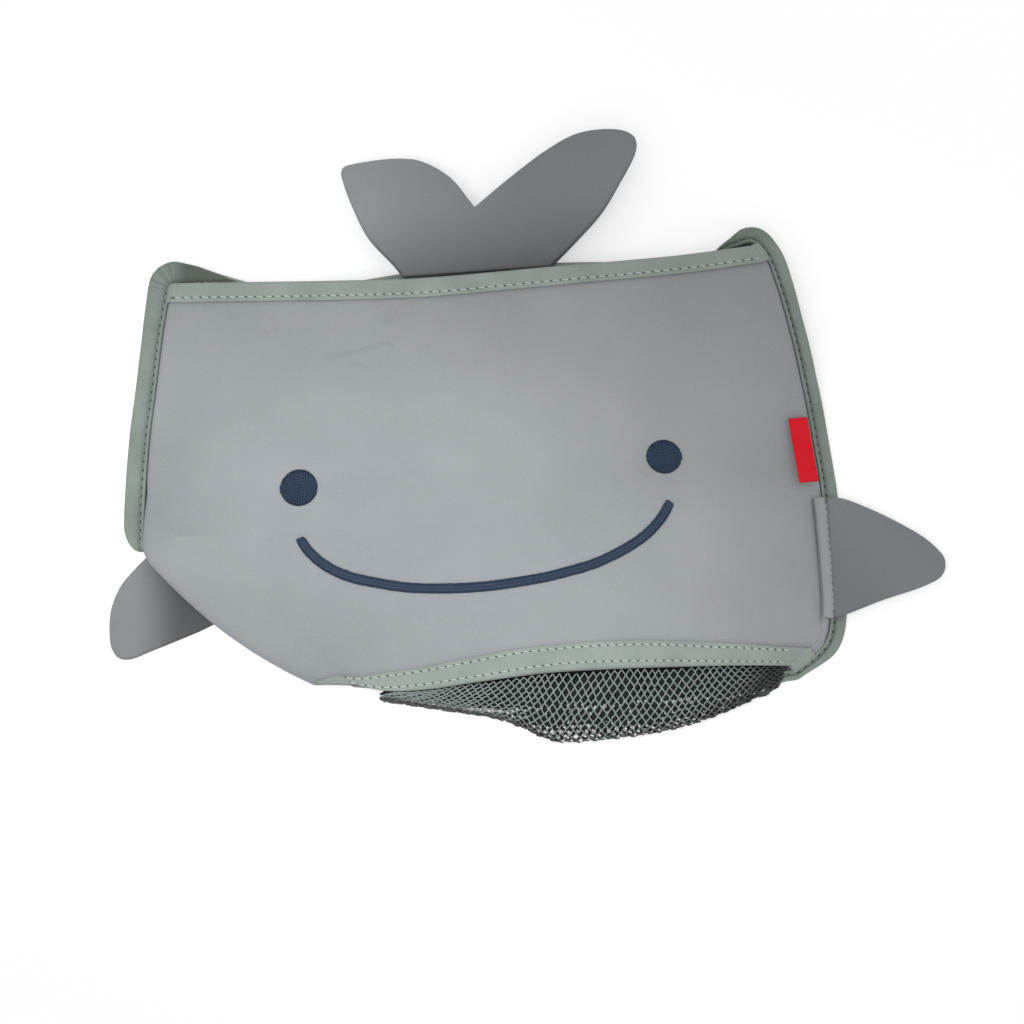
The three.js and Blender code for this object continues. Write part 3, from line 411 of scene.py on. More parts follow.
def buildMesh(name, points, faceSets, cornerUvs=None, material=None):
    # points are millimetres in the pouch's frame, faceSets arrays of faces with as many corners each.
    mesh = bpy.data.meshes.new(name)
    points = (np.asarray(points, float).reshape(-1, 3) + [0, pouch["restDrop"], 0]) * 0.001
    faceSets = [np.asarray(faces) for faces in faceSets]
    loops = np.concatenate([faces.ravel() for faces in faceSets])
    sizes = np.concatenate([np.full(len(faces), faces.shape[1]) for faces in faceSets])
    mesh.vertices.add(len(points))
    mesh.vertices.foreach_set("co", points.ravel())
    mesh.loops.add(len(loops))
    mesh.loops.foreach_set("vertex_index", loops.astype(np.int32))
    mesh.polygons.add(len(sizes))
    mesh.polygons.foreach_set("loop_start", np.concatenate([[0], np.cumsum(sizes)[:-1]]).astype(np.int32))
    mesh.polygons.foreach_set("loop_total", sizes.astype(np.int32))
    mesh.polygons.foreach_set("use_smooth", np.ones(len(sizes), bool))
    mesh.update(calc_edges=True)
    if cornerUvs is not None:
        uvs = np.concatenate([np.asarray(uv, float).reshape(-1, 2) for uv in cornerUvs]) * 0.001
        mesh.uv_layers.new(name="clothUv").data.foreach_set("uv", uvs.ravel())
    piece = bpy.data.objects.new(name, mesh)
    bpy.context.scene.collection.objects.link(piece)
    if material:
        mesh.materials.append(material)
    return piece


def gridFaces(rows, columns, start=0):
    index = np.arange(rows * columns).reshape(rows, columns) + start
    return np.stack([index[:-1, :-1], index[1:, :-1], index[1:, 1:], index[:-1, 1:]], -1).reshape(-1, 4)


def gridUvs(uv):
    return np.stack([uv[:-1, :-1], uv[1:, :-1], uv[1:, 1:], uv[:-1, 1:]], -2).reshape(-1, 4, 2)


def ringFaces(index):
    # Faces between rows of points, each row closed on itself.
    after = np.roll(index, -1, axis=1)
    return np.stack([index[:-1], after[:-1], after[1:], index[1:]], -1).reshape(-1, 4)


def flatUv(grid):
    # Lengths along the rows and columns of a grid, in mm, counted from its middle column and first row.
    rows = np.linalg.norm(np.diff(grid, axis=1), axis=-1)
    u = np.concatenate([np.zeros((len(grid), 1)), np.cumsum(rows, axis=1)], 1)
    u -= u[:, [grid.shape[1] // 2]]
    down = np.linalg.norm(np.diff(grid, axis=0), axis=-1)
    v = np.concatenate([np.zeros((1, grid.shape[1])), np.cumsum(down, axis=0)], 0)
    return np.stack([u, v], -1)


def sheetPiece(name, place, aValues, bValues, thickness, material, edgeRound=0.5):
    # A closed sheet: the middle surface moved half the thickness to both sides. Both faces are drawn in
    # at the rim, and two rings between them round it.
    a, b = np.meshgrid(aValues, bValues)
    middle, across, down, normal = surfaceFrame(place, a, b)
    half = thickness / 2
    soft = min(edgeRound, 0.8 * half)
    inset = np.zeros_like(middle)
    inset[:, 0] += across[:, 0] * soft
    inset[:, -1] -= across[:, -1] * soft
    inset[0] += down[0] * soft
    inset[-1] -= down[-1] * soft
    top, under = middle + normal * half + inset, middle - normal * half + inset
    rows, columns = a.shape
    count = rows * columns
    uv = flatUv(middle)
    index = np.arange(count).reshape(rows, columns)
    loop = np.concatenate([index[0], index[1:, -1], index[-1, -2::-1], index[-2:0:-1, 0]])
    rimTop = (middle + normal * (half - soft)).reshape(-1, 3)[loop]
    rimUnder = (middle - normal * (half - soft)).reshape(-1, 3)[loop]
    points = np.concatenate([top.reshape(-1, 3), under.reshape(-1, 3), rimTop, rimUnder])
    upper, lower = 2 * count + np.arange(len(loop)), 2 * count + len(loop) + np.arange(len(loop))
    rings = [loop, upper, lower, loop + count]
    walls = np.concatenate([
        np.stack([r, np.roll(r, -1), np.roll(s, -1), s], -1) for r, s in zip(rings, rings[1:])])
    loopUv = uv.reshape(-1, 2)[loop]
    wallUv = np.stack([loopUv, np.roll(loopUv, -1, 0), np.roll(loopUv, -1, 0), loopUv], 1)
    topFaces = gridFaces(rows, columns)
    faceSets = [topFaces, gridFaces(rows, columns, count)[:, ::-1], walls]
    uvs = [gridUvs(uv), gridUvs(uv)[:, ::-1], np.concatenate([wallUv] * 3)]
    return buildMesh(name, points, faceSets, uvs, material)


def facesOut(points, faceSets):
    # Whether a closed mesh holds a positive volume, by the sum of its tetrahedra about the origin.
    total = 0.0
    for faces in faceSets:
        corners = points[faces]
        for k in range(1, faces.shape[1] - 1):
            total += np.einsum("ij,ij->", corners[:, 0], np.cross(corners[:, k], corners[:, k + 1]))
    return total > 0


def turnedOut(points, sets, cornerUvs):
    # The same faces, all turned over if they look inwards.
    if facesOut(points, sets):
        return sets, cornerUvs
    return [faces[:, ::-1] for faces in sets], [uv[:, ::-1] for uv in cornerUvs]


def loftPiece(name, rings, alongMm, aroundMm, material):
    # A closed skin over rings of points [ring, point, xyz], capped with a polygon at both ends.
    count, points = rings.shape[:2]
    index = np.arange(count * points).reshape(count, points)
    faces = ringFaces(index)
    w0, w1 = [np.broadcast_to(around, (count - 1, points)) for around in (aroundMm[:-1], aroundMm[1:])]
    u0 = np.repeat(alongMm[:-1, None], points, 1)
    u1 = np.repeat(alongMm[1:, None], points, 1)
    uvs = np.stack([
        np.stack([u0, w0], -1), np.stack([u0, w1], -1), np.stack([u1, w1], -1), np.stack([u1, w0], -1),
    ], -2).reshape(-1, 4, 2)
    caps = np.stack([index[0][::-1], index[-1]])
    capUvs = np.zeros((2, points, 2))
    flat = rings.reshape(-1, 3)
    sets, cornerUvs = turnedOut(flat, [faces, caps], [uvs, capUvs])
    return buildMesh(name, flat, sets, cornerUvs, material)


def discPiece(name, top, under, flat, material):
    # A closed piece of two faces of rings [ring, point, xyz] round a middle, joined by a wall at the first
    # ring and each capped inside its last. Its UV is its flat places.
    count = top.shape[0] * top.shape[1]
    index = np.arange(count).reshape(top.shape[:2])
    after = np.roll(index, -1, axis=1)
    faces = ringFaces(index)
    wall = np.stack([index[0] + count, after[0] + count, after[0], index[0]], -1)
    sets = [faces, faces[:, ::-1] + count, wall, np.stack([index[-1], index[-1][::-1] + count])]
    points = np.concatenate([top.reshape(-1, 3), under.reshape(-1, 3)])
    uv = np.concatenate([flat.reshape(-1, 2)] * 2)
    return buildMesh(name, points, *turnedOut(points, sets, [uv[faces] for faces in sets]), material)


def threadPiece(name, paths, normals, halfWidth, halfHeight, material, sides=6, taper=0.35):
    # Many short threads at once: each path [thread, step, xyz] carries an ellipse that stands on the
    # given normals and narrows to a share of itself at both ends.
    threads, steps = paths.shape[:2]
    along = unit(np.gradient(paths, axis=1))
    side = unit(np.cross(normals, along))
    up = np.cross(along, side)
    t = np.linspace(0, 1, steps)
    full = (taper + (1 - taper) * (1 - np.abs(2 * t - 1) ** 4))[None, :, None, None]
    angle = np.linspace(0, 2 * np.pi, sides, endpoint=False)
    wide, high = [
        np.broadcast_to(half, (threads, steps))[..., None, None] for half in (halfWidth, halfHeight)]
    ring = (np.cos(angle)[:, None] * side[:, :, None] * wide
            + np.sin(angle)[:, None] * up[:, :, None] * high)
    points = paths[:, :, None] + ring * full
    index = np.arange(threads * steps * sides).reshape(threads, steps, sides)
    nextOne = np.roll(index, -1, axis=2)
    faces = np.stack([index[:, :-1], index[:, 1:], nextOne[:, 1:], nextOne[:, :-1]], -1).reshape(-1, 4)
    caps = np.concatenate([index[:, 0], index[:, -1, ::-1]])
    run = np.linalg.norm(paths[:, -1] - paths[:, 0], axis=-1)[:, None, None] * t[None, :, None]
    u = np.broadcast_to(run, index.shape)
    w = np.broadcast_to(np.arange(sides) / sides, index.shape)
    flat = np.stack([u, w], -1)
    uvs = np.stack([flat[:, :-1], flat[:, 1:], flat[:, 1:], flat[:, :-1]], -2).reshape(-1, 4, 2)
    capUvs = np.zeros((len(caps), sides, 2))
    points = points.reshape(-1, 3)
    return buildMesh(name, points, *turnedOut(points, [faces, caps], [uvs, capUvs]), material)


# Shader groups


def addNode(tree, kind, inputs=None, **settings):
    node = tree.nodes.new(kind)
    for key, value in settings.items():
        setattr(node, key, value)
    for key, value in (inputs or {}).items():
        if isinstance(value, bpy.types.NodeSocket):
            tree.links.new(value, node.inputs[key])
        else:
            node.inputs[key].default_value = value
    return node


def worked(tree, operation, a, b=0.0, c=None, clamp=False):
    inputs = {0: a, 1: b} if c is None else {0: a, 1: b, 2: c}
    return addNode(tree, "ShaderNodeMath", inputs, operation=operation, use_clamp=clamp).outputs[0]


def weighed(tree, a, shareA, b, shareB, clamp=False):
    # Two values added in shares.
    return worked(tree, "ADD", worked(tree, "MULTIPLY", a, shareA), worked(tree, "MULTIPLY", b, shareB),
                  clamp=clamp)


def mapped(tree, value, start=0.0, end=1.0, low=0.0, high=1.0, curve="LINEAR"):
    return addNode(tree, "ShaderNodeMapRange", {0: value, 1: start, 2: end, 3: low, 4: high},
                   interpolation_type=curve).outputs[0]


def split(tree, vector):
    return addNode(tree, "ShaderNodeSeparateXYZ", {0: vector}).outputs


def newGroup(name, inputs, outputs):
    tree = bpy.data.node_groups.new(name, "ShaderNodeTree")
    for label, value in inputs.items():
        kind = {1: "NodeSocketFloat", 3: "NodeSocketVector", 4: "NodeSocketColor"}[np.size(value)]
        socket = tree.interface.new_socket(name=label, in_out="INPUT", socket_type=kind)
        socket.default_value = value
    for label, kind in outputs.items():
        tree.interface.new_socket(name=label, in_out="OUTPUT", socket_type=kind)
    return tree, tree.nodes.new("NodeGroupInput"), tree.nodes.new("NodeGroupOutput")


def makeKnitGroup():
    # Jersey face: rows of small V-shaped loops, from a sine across and a slanted sine along each wale.
    tree, given, result = newGroup(
        "knitFace", {"Vector": (0, 0, 0), "Wale": 0.0007, "Course": 0.0005},
        {"Height": "NodeSocketFloat", "Mask": "NodeSocketFloat"})
    x, y, _ = split(tree, given.outputs["Vector"])
    across = worked(tree, "DIVIDE", x, given.outputs["Wale"])
    along = worked(tree, "DIVIDE", y, given.outputs["Course"])
    fold = worked(tree, "PINGPONG", across, 0.5)
    slant = worked(tree, "ADD", along, worked(tree, "MULTIPLY", fold, 1.2))
    loops = worked(tree, "SINE", worked(tree, "MULTIPLY", slant, 2 * math.pi))
    ribs = worked(tree, "COSINE", worked(tree, "MULTIPLY", across, 4 * math.pi))
    height = worked(tree, "ADD", weighed(tree, loops, 0.28, ribs, 0.22), 0.5, clamp=True)
    tree.links.new(height, result.inputs["Height"])
    tree.links.new(worked(tree, "POWER", height, 1.5), result.inputs["Mask"])
    return tree


def makeRibGroup():
    # Ribbed tape: cords across the tape with finer yarns along it.
    tree, given, result = newGroup(
        "ribbedTape", {"Vector": (0, 0, 0), "Rib": 0.0009, "Yarn": 0.0005},
        {"Height": "NodeSocketFloat", "Mask": "NodeSocketFloat"})
    x, y, _ = split(tree, given.outputs["Vector"])
    along = worked(tree, "DIVIDE", x, given.outputs["Rib"])
    across = worked(tree, "DIVIDE", y, given.outputs["Yarn"])
    ribs = worked(tree, "ABSOLUTE", worked(tree, "SINE", worked(tree, "MULTIPLY", along, math.pi)))
    shift = worked(tree, "MULTIPLY", worked(tree, "FLOOR", along), 0.5)
    turns = worked(tree, "MULTIPLY", worked(tree, "ADD", across, shift), 2 * math.pi)
    height = weighed(tree, ribs, 0.8, worked(tree, "SINE", turns), 0.18, clamp=True)
    tree.links.new(height, result.inputs["Height"])
    tree.links.new(ribs, result.inputs["Mask"])
    return tree


def makeMottleGroup():
    # Slow and fine blotches, centred on a half, as cloth takes light and handling unevenly.
    tree, given, result = newGroup(
        "clothMottle", {"Vector": (0, 0, 0), "Coarse": 28.0, "Fine": 900.0, "Fine share": 0.4},
        {"Value": "NodeSocketFloat"})
    coarse, fine = [
        addNode(tree, "ShaderNodeTexNoise", {
            "Vector": given.outputs["Vector"], "Scale": given.outputs[size], "Detail": detail}).outputs[0]
        for size, detail in (("Coarse", 3.0), ("Fine", 2.0))]
    both = addNode(tree, "ShaderNodeMix", {0: given.outputs["Fine share"], 2: coarse, 3: fine})
    tree.links.new(both.outputs[0], result.inputs["Value"])
    return tree


def makeTwistGroup():
    # Twisted thread: slanting stripes along its length. Its UV goes once round in a thousandth.
    tree, given, result = newGroup(
        "twistedThread", {"Vector": (0, 0, 0), "Pitch": 0.0008, "Slant": 1.0}, {"Height": "NodeSocketFloat"})
    x, y, _ = split(tree, given.outputs["Vector"])
    along = worked(tree, "DIVIDE", x, given.outputs["Pitch"])
    around = worked(tree, "MULTIPLY", y, worked(tree, "MULTIPLY", given.outputs["Slant"], 1000.0))
    turns = worked(tree, "MULTIPLY", worked(tree, "ADD", along, around), 2 * math.pi)
    height = worked(tree, "MULTIPLY_ADD", worked(tree, "SINE", turns), 0.5, 0.5)
    tree.links.new(height, result.inputs["Height"])
    return tree


groups = {"knit": makeKnitGroup(), "rib": makeRibGroup(), "mottle": makeMottleGroup(),
          "twist": makeTwistGroup()}


def linear(*rgb):
    # Screen colour from 0 to 255 as the linear colour that shaders take.
    c = np.array(rgb) / 255
    return (*np.where(c <= 0.04045, c / 12.92, ((c + 0.055) / 1.055) ** 2.4), 1.0)


def useGroup(tree, name, **inputs):
    node = tree.nodes.new("ShaderNodeGroup")
    node.node_tree = groups[name]
    for key, value in inputs.items():
        key = key.replace("_", " ")
        if isinstance(value, bpy.types.NodeSocket):
            tree.links.new(value, node.inputs[key])
        else:
            node.inputs[key].default_value = value
    return node.outputs


def mottled(tree, where, coarse, fine, fineShare):
    return useGroup(tree, "mottle", Vector=where.outputs["Object"], Coarse=coarse, Fine=fine,
                    Fine_share=fineShare)[0]


def setInputs(shader, **inputs):
    for key, value in inputs.items():
        shader.inputs[key.replace("_", " ")].default_value = value


def newMaterial(name):
    material = bpy.data.materials.new(name)
    material.use_nodes = True
    tree = material.node_tree
    shader = tree.nodes["Principled BSDF"]
    where = tree.nodes.new("ShaderNodeTexCoord")
    return material, tree, shader, where


def tint(tree, factor, dark, light):
    return addNode(tree, "ShaderNodeMix", {0: factor, 6: dark, 7: light}, data_type="RGBA").outputs[2]


def bumped(tree, shader, height, strength, distance, previous=None):
    inputs = {"Height": height, "Strength": strength, "Distance": distance}
    if previous is not None:
        inputs["Normal"] = previous
    bump = addNode(tree, "ShaderNodeBump", inputs)
    tree.links.new(bump.outputs[0], shader.inputs["Normal"])
    return bump.outputs[0]


def paintedSeamShade(tree, where, colour, ranges):
    # Painted shade, darker towards seams and folds: each range is a direction, two places along it in metres,
    # and the dark share.
    for direction, start, end, share in ranges:
        along = addNode(tree, "ShaderNodeVectorMath", {0: where.outputs["Object"], 1: direction},
                        operation="DOT_PRODUCT").outputs["Value"]
        clear = mapped(tree, along, start, end, share, curve="SMOOTHSTEP")
        colour = addNode(tree, "ShaderNodeVectorMath", {0: colour, "Scale": clear},
                         operation="SCALE").outputs[0]
    return colour


def neopreneMaterial(name, light, dark, paintedShade=()):
    material, tree, shader, where = newMaterial(name)
    knit = useGroup(tree, "knit", Vector=where.outputs["UV"], Wale=0.00075, Course=0.0006)
    mottle = mottled(tree, where, 16.0, 1400.0, 0.45)
    both = weighed(tree, knit["Mask"], 0.45, mapped(tree, mottle, 0.3, 0.7), 0.55, clamp=True)
    colour = paintedSeamShade(tree, where, tint(tree, both, dark, light), paintedShade)
    tree.links.new(colour, shader.inputs["Base Color"])
    setInputs(shader, Roughness=0.82, Specular_IOR_Level=0.3, Sheen_Weight=0.03, Sheen_Roughness=0.4)
    soft = bumped(tree, shader, mottle, 0.25, 0.0008)
    bumped(tree, shader, knit["Height"], 0.35, 0.00018, soft)
    return material


def tapeMaterial(name, light, dark, rib=0.0009, paintedTurnShade=None):
    material, tree, shader, where = newMaterial(name)
    cords = useGroup(tree, "rib", Vector=where.outputs["UV"], Rib=rib, Yarn=0.00055)
    mottle = mottled(tree, where, 60.0, 1600.0, 0.3)
    both = weighed(tree, cords["Mask"], 0.5, mapped(tree, mottle, 0.32, 0.68), 0.5, clamp=True)
    colour = tint(tree, both, dark, light)
    if paintedTurnShade:
        # Painted shade on the tape's reverse, which shows where it has turned over a corner: darker there,
        # between two places along the tape in metres, by the dark share, a little less in blue.
        start, end, share = paintedTurnShade
        front = mapped(tree, split(tree, where.outputs["UV"])[0], start, end, curve="SMOOTHSTEP")
        back = addNode(tree, "ShaderNodeMix", {0: 1.0, 6: colour, 7: (share, share, share * 0.92, 1)},
                       data_type="RGBA", blend_type="MULTIPLY").outputs[2]
        colour = tint(tree, front, back, colour)
    tree.links.new(colour, shader.inputs["Base Color"])
    setInputs(shader, Roughness=0.75, Specular_IOR_Level=0.3, Sheen_Weight=0.03)
    soft = bumped(tree, shader, mottle, 0.3, 0.0006)
    bumped(tree, shader, cords["Height"], 0.5, 0.00022, soft)
    return material


def threadMaterial(name, light, dark, roughness=0.5, pitch=0.0009, sheen=0.2, gloss=0.35):
    material, tree, shader, where = newMaterial(name)
    twist = useGroup(tree, "twist", Vector=where.outputs["UV"], Pitch=pitch, Slant=1.0)
    both = weighed(tree, twist[0], 0.6, mottled(tree, where, 300.0, 2500.0, 0.5), 0.5, clamp=True)
    tree.links.new(tint(tree, both, dark, light), shader.inputs["Base Color"])
    setInputs(shader, Roughness=roughness, Specular_IOR_Level=gloss, Sheen_Weight=sheen)
    bumped(tree, shader, twist[0], 0.4, 0.0001)
    return material


def plasticMaterial(name, light, dark, roughness):
    material, tree, shader, where = newMaterial(name)
    mottle = mottled(tree, where, 90.0, 700.0, 0.3)
    tree.links.new(tint(tree, mottle, dark, light), shader.inputs["Base Color"])
    rough = mapped(tree, mottle, low=roughness - 0.08, high=roughness + 0.08)
    tree.links.new(rough, shader.inputs["Roughness"])
    bumped(tree, shader, mottle, 0.12, 0.0002)
    return material


def vinylMaterial():
    material, tree, shader, where = newMaterial("clearVinyl")
    mottle = mottled(tree, where, 140.0, 900.0, 0.35)
    colour = tint(tree, mottle, linear(206, 216, 218), linear(236, 242, 243))
    tree.links.new(colour, shader.inputs["Base Color"])
    tree.links.new(mapped(tree, mottle, low=0.08, high=0.28), shader.inputs["Roughness"])
    setInputs(shader, IOR=1.5, Transmission_Weight=0.82)
    bumped(tree, shader, mottle, 0.15, 0.0003)
    return material


def netMaterial():
    # Yarn tinted by its height: painted light where the net faces up and painted shade where it turns under.
    material, tree, shader, where = newMaterial("netYarn")
    twist = useGroup(tree, "twist", Vector=where.outputs["UV"], Pitch=0.0011, Slant=1.0)
    mottle = mottled(tree, where, 260.0, 1500.0, 0.4)
    upper = mapped(tree, split(tree, where.outputs["Object"])[2], 0.0125, 0.0225, curve="SMOOTHSTEP")
    bright = worked(tree, "MULTIPLY_ADD", mottle, 1.0, 0.5)
    litYarn = tint(tree, bright, linear(103, 116, 112), linear(148, 162, 157))
    # The dark tint is painted shade for the yarn that turns under.
    under = tint(tree, mottle, linear(28, 33, 33), linear(58, 66, 65))
    tree.links.new(tint(tree, upper, under, litYarn), shader.inputs["Base Color"])
    setInputs(shader, Roughness=0.55, Sheen_Weight=0.1)
    bumped(tree, shader, twist[0], 0.4, 0.0001)
    return material


looks = {  # light and dark colours as a screen shows them, then seam shades, roughness, pitch, sheen, gloss
    "panel": neopreneMaterial("greyNeoprene", linear(177, 182, 186), linear(147, 152, 156)),
    # Painted shade on the tail: darker towards its base seam and towards its right. On the flippers: darker
    # towards the base seam and the fold.
    "tail": neopreneMaterial(
        "tailNeoprene", linear(176, 178, 181), linear(151, 153, 156),
        [((0, 1, 0), 0.142, 0.196, 0.54), ((-1, 0, 0), -0.035, 0.06, 0.74)]),
    # The flippers' neoprene is darker than the panel's as painted shade.
    "right_flipper": neopreneMaterial(
        "rightFlipperShadedNeoprene", linear(151, 154, 158), linear(128, 131, 134),
        [((0.8, 0.6, 0), 0.125, 0.165, 0.8)]),
    "left_flipper": neopreneMaterial(
        "leftFlipperShadedNeoprene", linear(166, 167, 169), linear(141, 142, 144),
        [((-1, 0, 0), 0.152, 0.18, 0.36)]),
    "tape": tapeMaterial("sageTape", linear(171, 183, 174), linear(133, 146, 137)),
    "leftBand": tapeMaterial(
        "sageBandLeft", linear(158, 171, 162), linear(123, 136, 127), paintedTurnShade=(0.034, 0.047, 0.46)),
    "rightBand": tapeMaterial(
        "sageBandRight", linear(158, 171, 162), linear(123, 136, 127), paintedTurnShade=(0.018, 0.032, 0.72)),
    "stitch": threadMaterial("sageThread", linear(216, 228, 218), linear(171, 184, 174)),
    "hole": threadMaterial("holeShade", linear(86, 98, 92), linear(58, 68, 63), 0.9, 0.0009, 0.0, 0.1),
    "darkStitch": threadMaterial("darkThread", linear(63, 73, 71), linear(38, 46, 45)),
    "satin": threadMaterial("slateSatin", linear(53, 73, 101), linear(17, 26, 38), 0.5, 0.0016, 0.0, 0.28),
    "satinPad": threadMaterial("slatePad", linear(23, 31, 43), linear(16, 21, 30), 0.7, 0.0009, 0.0, 0.2),
    "net": netMaterial(),
    "netPaintedShade": threadMaterial("netPaintedShade", linear(33, 40, 40), linear(18, 22, 22), 0.8, 0.0009, 0.0),
    "label": tapeMaterial("redRibbon", linear(246, 16, 40), linear(214, 10, 28), 0.0007),
    "eyelet": plasticMaterial("greyPlastic", linear(153, 159, 161), linear(133, 139, 142), 0.45),
    "vinyl": vinylMaterial(),
}
print("materials made")


def settle(piece, body, slotName, *nodes):
    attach(piece, body)
    if nodes:
        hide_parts(*nodes)
    return piece


# Camera, lights and floor

studio = {
    "elevation": 80.0, "roll": 4.06,  # degrees, as the photograph looks at the pouch
    "across": 0.512,  # metres seen across the frame
    "lens": 100.0, "sensor": 36.0,
    "aim": (0.01477, 0.0292, 0.015),
    "world": 0.59, "key": 0.158, "keySize": (0.4, 0.17), "keySpread": 44.0,
    "keyPlace": (-0.085, -0.055, 0.52), "keyAim": (-0.045, 0.025, 0.02),
    "floorColour": (0.94, 0.94, 0.943, 1), "floorGlow": 0.44, "floorReach": 3.0,
}


def seenStraight(tree):
    # 1 for rays from the camera, also by way of a gloss or a clear piece.
    path = tree.nodes.new("ShaderNodeLightPath").outputs
    through = worked(tree, "MAXIMUM", path["Is Glossy Ray"], path["Is Transmission Ray"])
    return worked(tree, "MAXIMUM", path["Is Camera Ray"], through)


def makeStudio():
    camera = bpy.data.cameras.new("camera")
    camera.lens = studio["lens"]
    camera.sensor_width = studio["sensor"]
    camera.clip_end = 20
    holder = bpy.data.objects.new("camera", camera)
    bpy.context.scene.collection.objects.link(holder)
    distance = studio["across"] * studio["lens"] / studio["sensor"]
    elevation, roll = math.radians(studio["elevation"]), math.radians(studio["roll"])
    back = Vector((0, -math.cos(elevation), math.sin(elevation)))
    level, lifted = Vector((1, 0, 0)), Vector((0, math.sin(elevation), math.cos(elevation)))
    right = level * math.cos(roll) - lifted * math.sin(roll)
    up = level * math.sin(roll) + lifted * math.cos(roll)
    turn = Matrix((right, up, back)).transposed().to_4x4()
    holder.matrix_world = Matrix.Translation(Vector(studio["aim"]) + back * distance) @ turn
    bpy.context.scene.camera = holder

    key = bpy.data.lights.new("keyLight", "AREA")
    key.energy = studio["key"]
    key.shape = "RECTANGLE"
    key.size, key.size_y = studio["keySize"]
    key.spread = math.radians(studio["keySpread"])
    keyHolder = bpy.data.objects.new("keyLight", key)
    keyHolder.location = studio["keyPlace"]
    towards = Vector(studio["keyAim"]) - keyHolder.location
    keyHolder.rotation_euler = towards.to_track_quat("-Z", "Y").to_euler()
    bpy.context.scene.collection.objects.link(keyHolder)

    world = bpy.data.worlds.new("studioWorld")
    world.use_nodes = True
    tree = world.node_tree
    sky = tree.nodes["Background"]
    sky.inputs["Color"].default_value = (1, 1, 1, 1)
    strength = worked(tree, "MULTIPLY_ADD", seenStraight(tree), 1 - studio["world"], studio["world"])
    tree.links.new(strength, sky.inputs["Strength"])
    bpy.context.scene.world = world
    bpy.context.scene.view_settings.view_transform = "Standard"

    floorMesh = bpy.data.meshes.new("studioFloor")
    reach = studio["floorReach"]
    floorMesh.from_pydata([(-reach, -reach, 0), (reach, -reach, 0), (reach, reach, 0), (-reach, reach, 0)],
                          [], [(0, 1, 2, 3)])
    floor = bpy.data.objects.new("studioFloor", floorMesh)
    bpy.context.scene.collection.objects.link(floor)
    material, tree, shader, _ = newMaterial("paleFloor")
    setInputs(shader, Base_Color=studio["floorColour"], Roughness=0.9, Specular_IOR_Level=0.1,
              Emission_Color=(1, 1, 1, 1))
    glow = worked(tree, "MULTIPLY", seenStraight(tree), studio["floorGlow"])
    tree.links.new(glow, shader.inputs["Emission Strength"])
    floorMesh.materials.append(material)


makeStudio()
print("camera, lights and floor made")


# Panels


def makePanels():
    turn = pouch["turnShare"]
    # Closer columns at the turned edges, beside the right base seam and over the two clear ring marks.
    nearSeam = 0.97 - turn
    runs = [(0, turn, 23), (turn, nearSeam, 142), (nearSeam, 1 - turn, 24), (1 - turn, 1, 23)]
    overRings = [mix(turn, 1 - turn, np.linspace(*run)) for run in ((0.176, 0.218, 20), (0.358, 0.4, 20))]
    columns = np.unique(np.concatenate([np.linspace(*run) for run in runs] + overRings))
    front = sheetPiece("front_cloth", frontPlace, columns, np.linspace(0, 1, 180), pouch["panel"],
                       looks["panel"])
    settle(front, "pouch", "neoprene", "front_panel")
    back = sheetPiece("back_cloth", backPlace, np.linspace(0, 1, 120), np.linspace(0, 1, 120),
                      pouch["panel"], looks["panel"])
    cutHoles(back)
    settle(back, "pouch", "neoprene", "back_panel")


cups = {  # suction cups and their eyelets, mm
    "shares": [-0.606, -0.243, 0.243, 0.606], "drop": -0.108,  # of half the width and of the height
    "radius": 20.0, "rimWidth": 1.6, "rimHeight": 1.2,
    "shoulder": 7.5, "neck": 4.4, "knob": 5.6, "knobHeight": 4.0, "hollow": 5.2,
    "bore": 5.0, "wall": 0.8, "flange": 8.5, "flangeThickness": 1.0, "turns": 72,
    "drillSteps": 48, "drillOverrun": 6,
}
cupPlaces = [(share * halfWidth, cups["drop"] * pouch["height"]) for share in cups["shares"]]


def cutHoles(panel):
    # Round holes for the eyelets, cut with plain drills.
    steps, overrun = cups["drillSteps"], cups["drillOverrun"]
    angle = np.linspace(0, 2 * np.pi, steps, endpoint=False)
    radius = cups["bore"] + cups["wall"] + pouch["seatGap"]
    circle = np.stack([radius * np.cos(angle), radius * np.sin(angle)], -1)
    low, high = pouch["cupHeight"] - overrun, pouch["cupHeight"] + pouch["panel"] + overrun
    for number, (x, y) in enumerate(cupPlaces):
        rings = np.stack([
            np.concatenate([circle + [x, y], np.full((steps, 1), z)], -1) for z in (low, high)])
        drill = loftPiece(f"drill{number}", rings, np.array([0.0, 1.0]), np.arange(steps + 1.0), None)
        cut = panel.modifiers.new("hole", "BOOLEAN")
        cut.operation = "DIFFERENCE"
        cut.solver = "EXACT"
        cut.object = drill
        bpy.context.view_layer.update()
        shaped = bpy.data.meshes.new_from_object(panel.evaluated_get(bpy.context.evaluated_depsgraph_get()))
        panel.modifiers.clear()
        panel.data = shaped
        bpy.data.objects.remove(drill)


makePanels()
print("panels made")


# Tapes and bands

tapes = {  # folded tapes on the panels' top and bottom edges, mm
    "thickness": 1.0, "slack": 0.5, "puff": 0.22, "groove": 0.34, "grooveWidth": 0.7, "pull": 0.25,
    "front_top": {"width": 9.0, "rows": [6.7], "pitch": 4.65, "endClear": 6.0},
    "front_bottom": {"width": 12.0, "rows": [1.9, 9.9], "pitch": 4.2, "startWidth": 3.0, "full": 8 / 27,
                     "endClear": 14.0},
    "back_top": {"width": 8.0, "rows": [6.0], "pitch": 4.65, "endClear": 6.0},
    "nose": 0.55,  # how far the turn stands out, as a share of its height
    "edgeIn": 0.1, "edgeDown": 0.55,  # the free edges' rounding
    "columns": 420, "armSteps": 26, "fewer": 5, "noseSteps": 13,
    "stitchLength": 3.3, "stitchWidth": 0.7, "stitchHeight": 0.4, "bow": 0.5, "sunk": 0.45, "slant": 0.5,
    "holeLength": 1.15, "holeWidth": 0.68, "holeHeight": 0.4, "holeSunk": 0.18, "holeBow": 0.1,
}


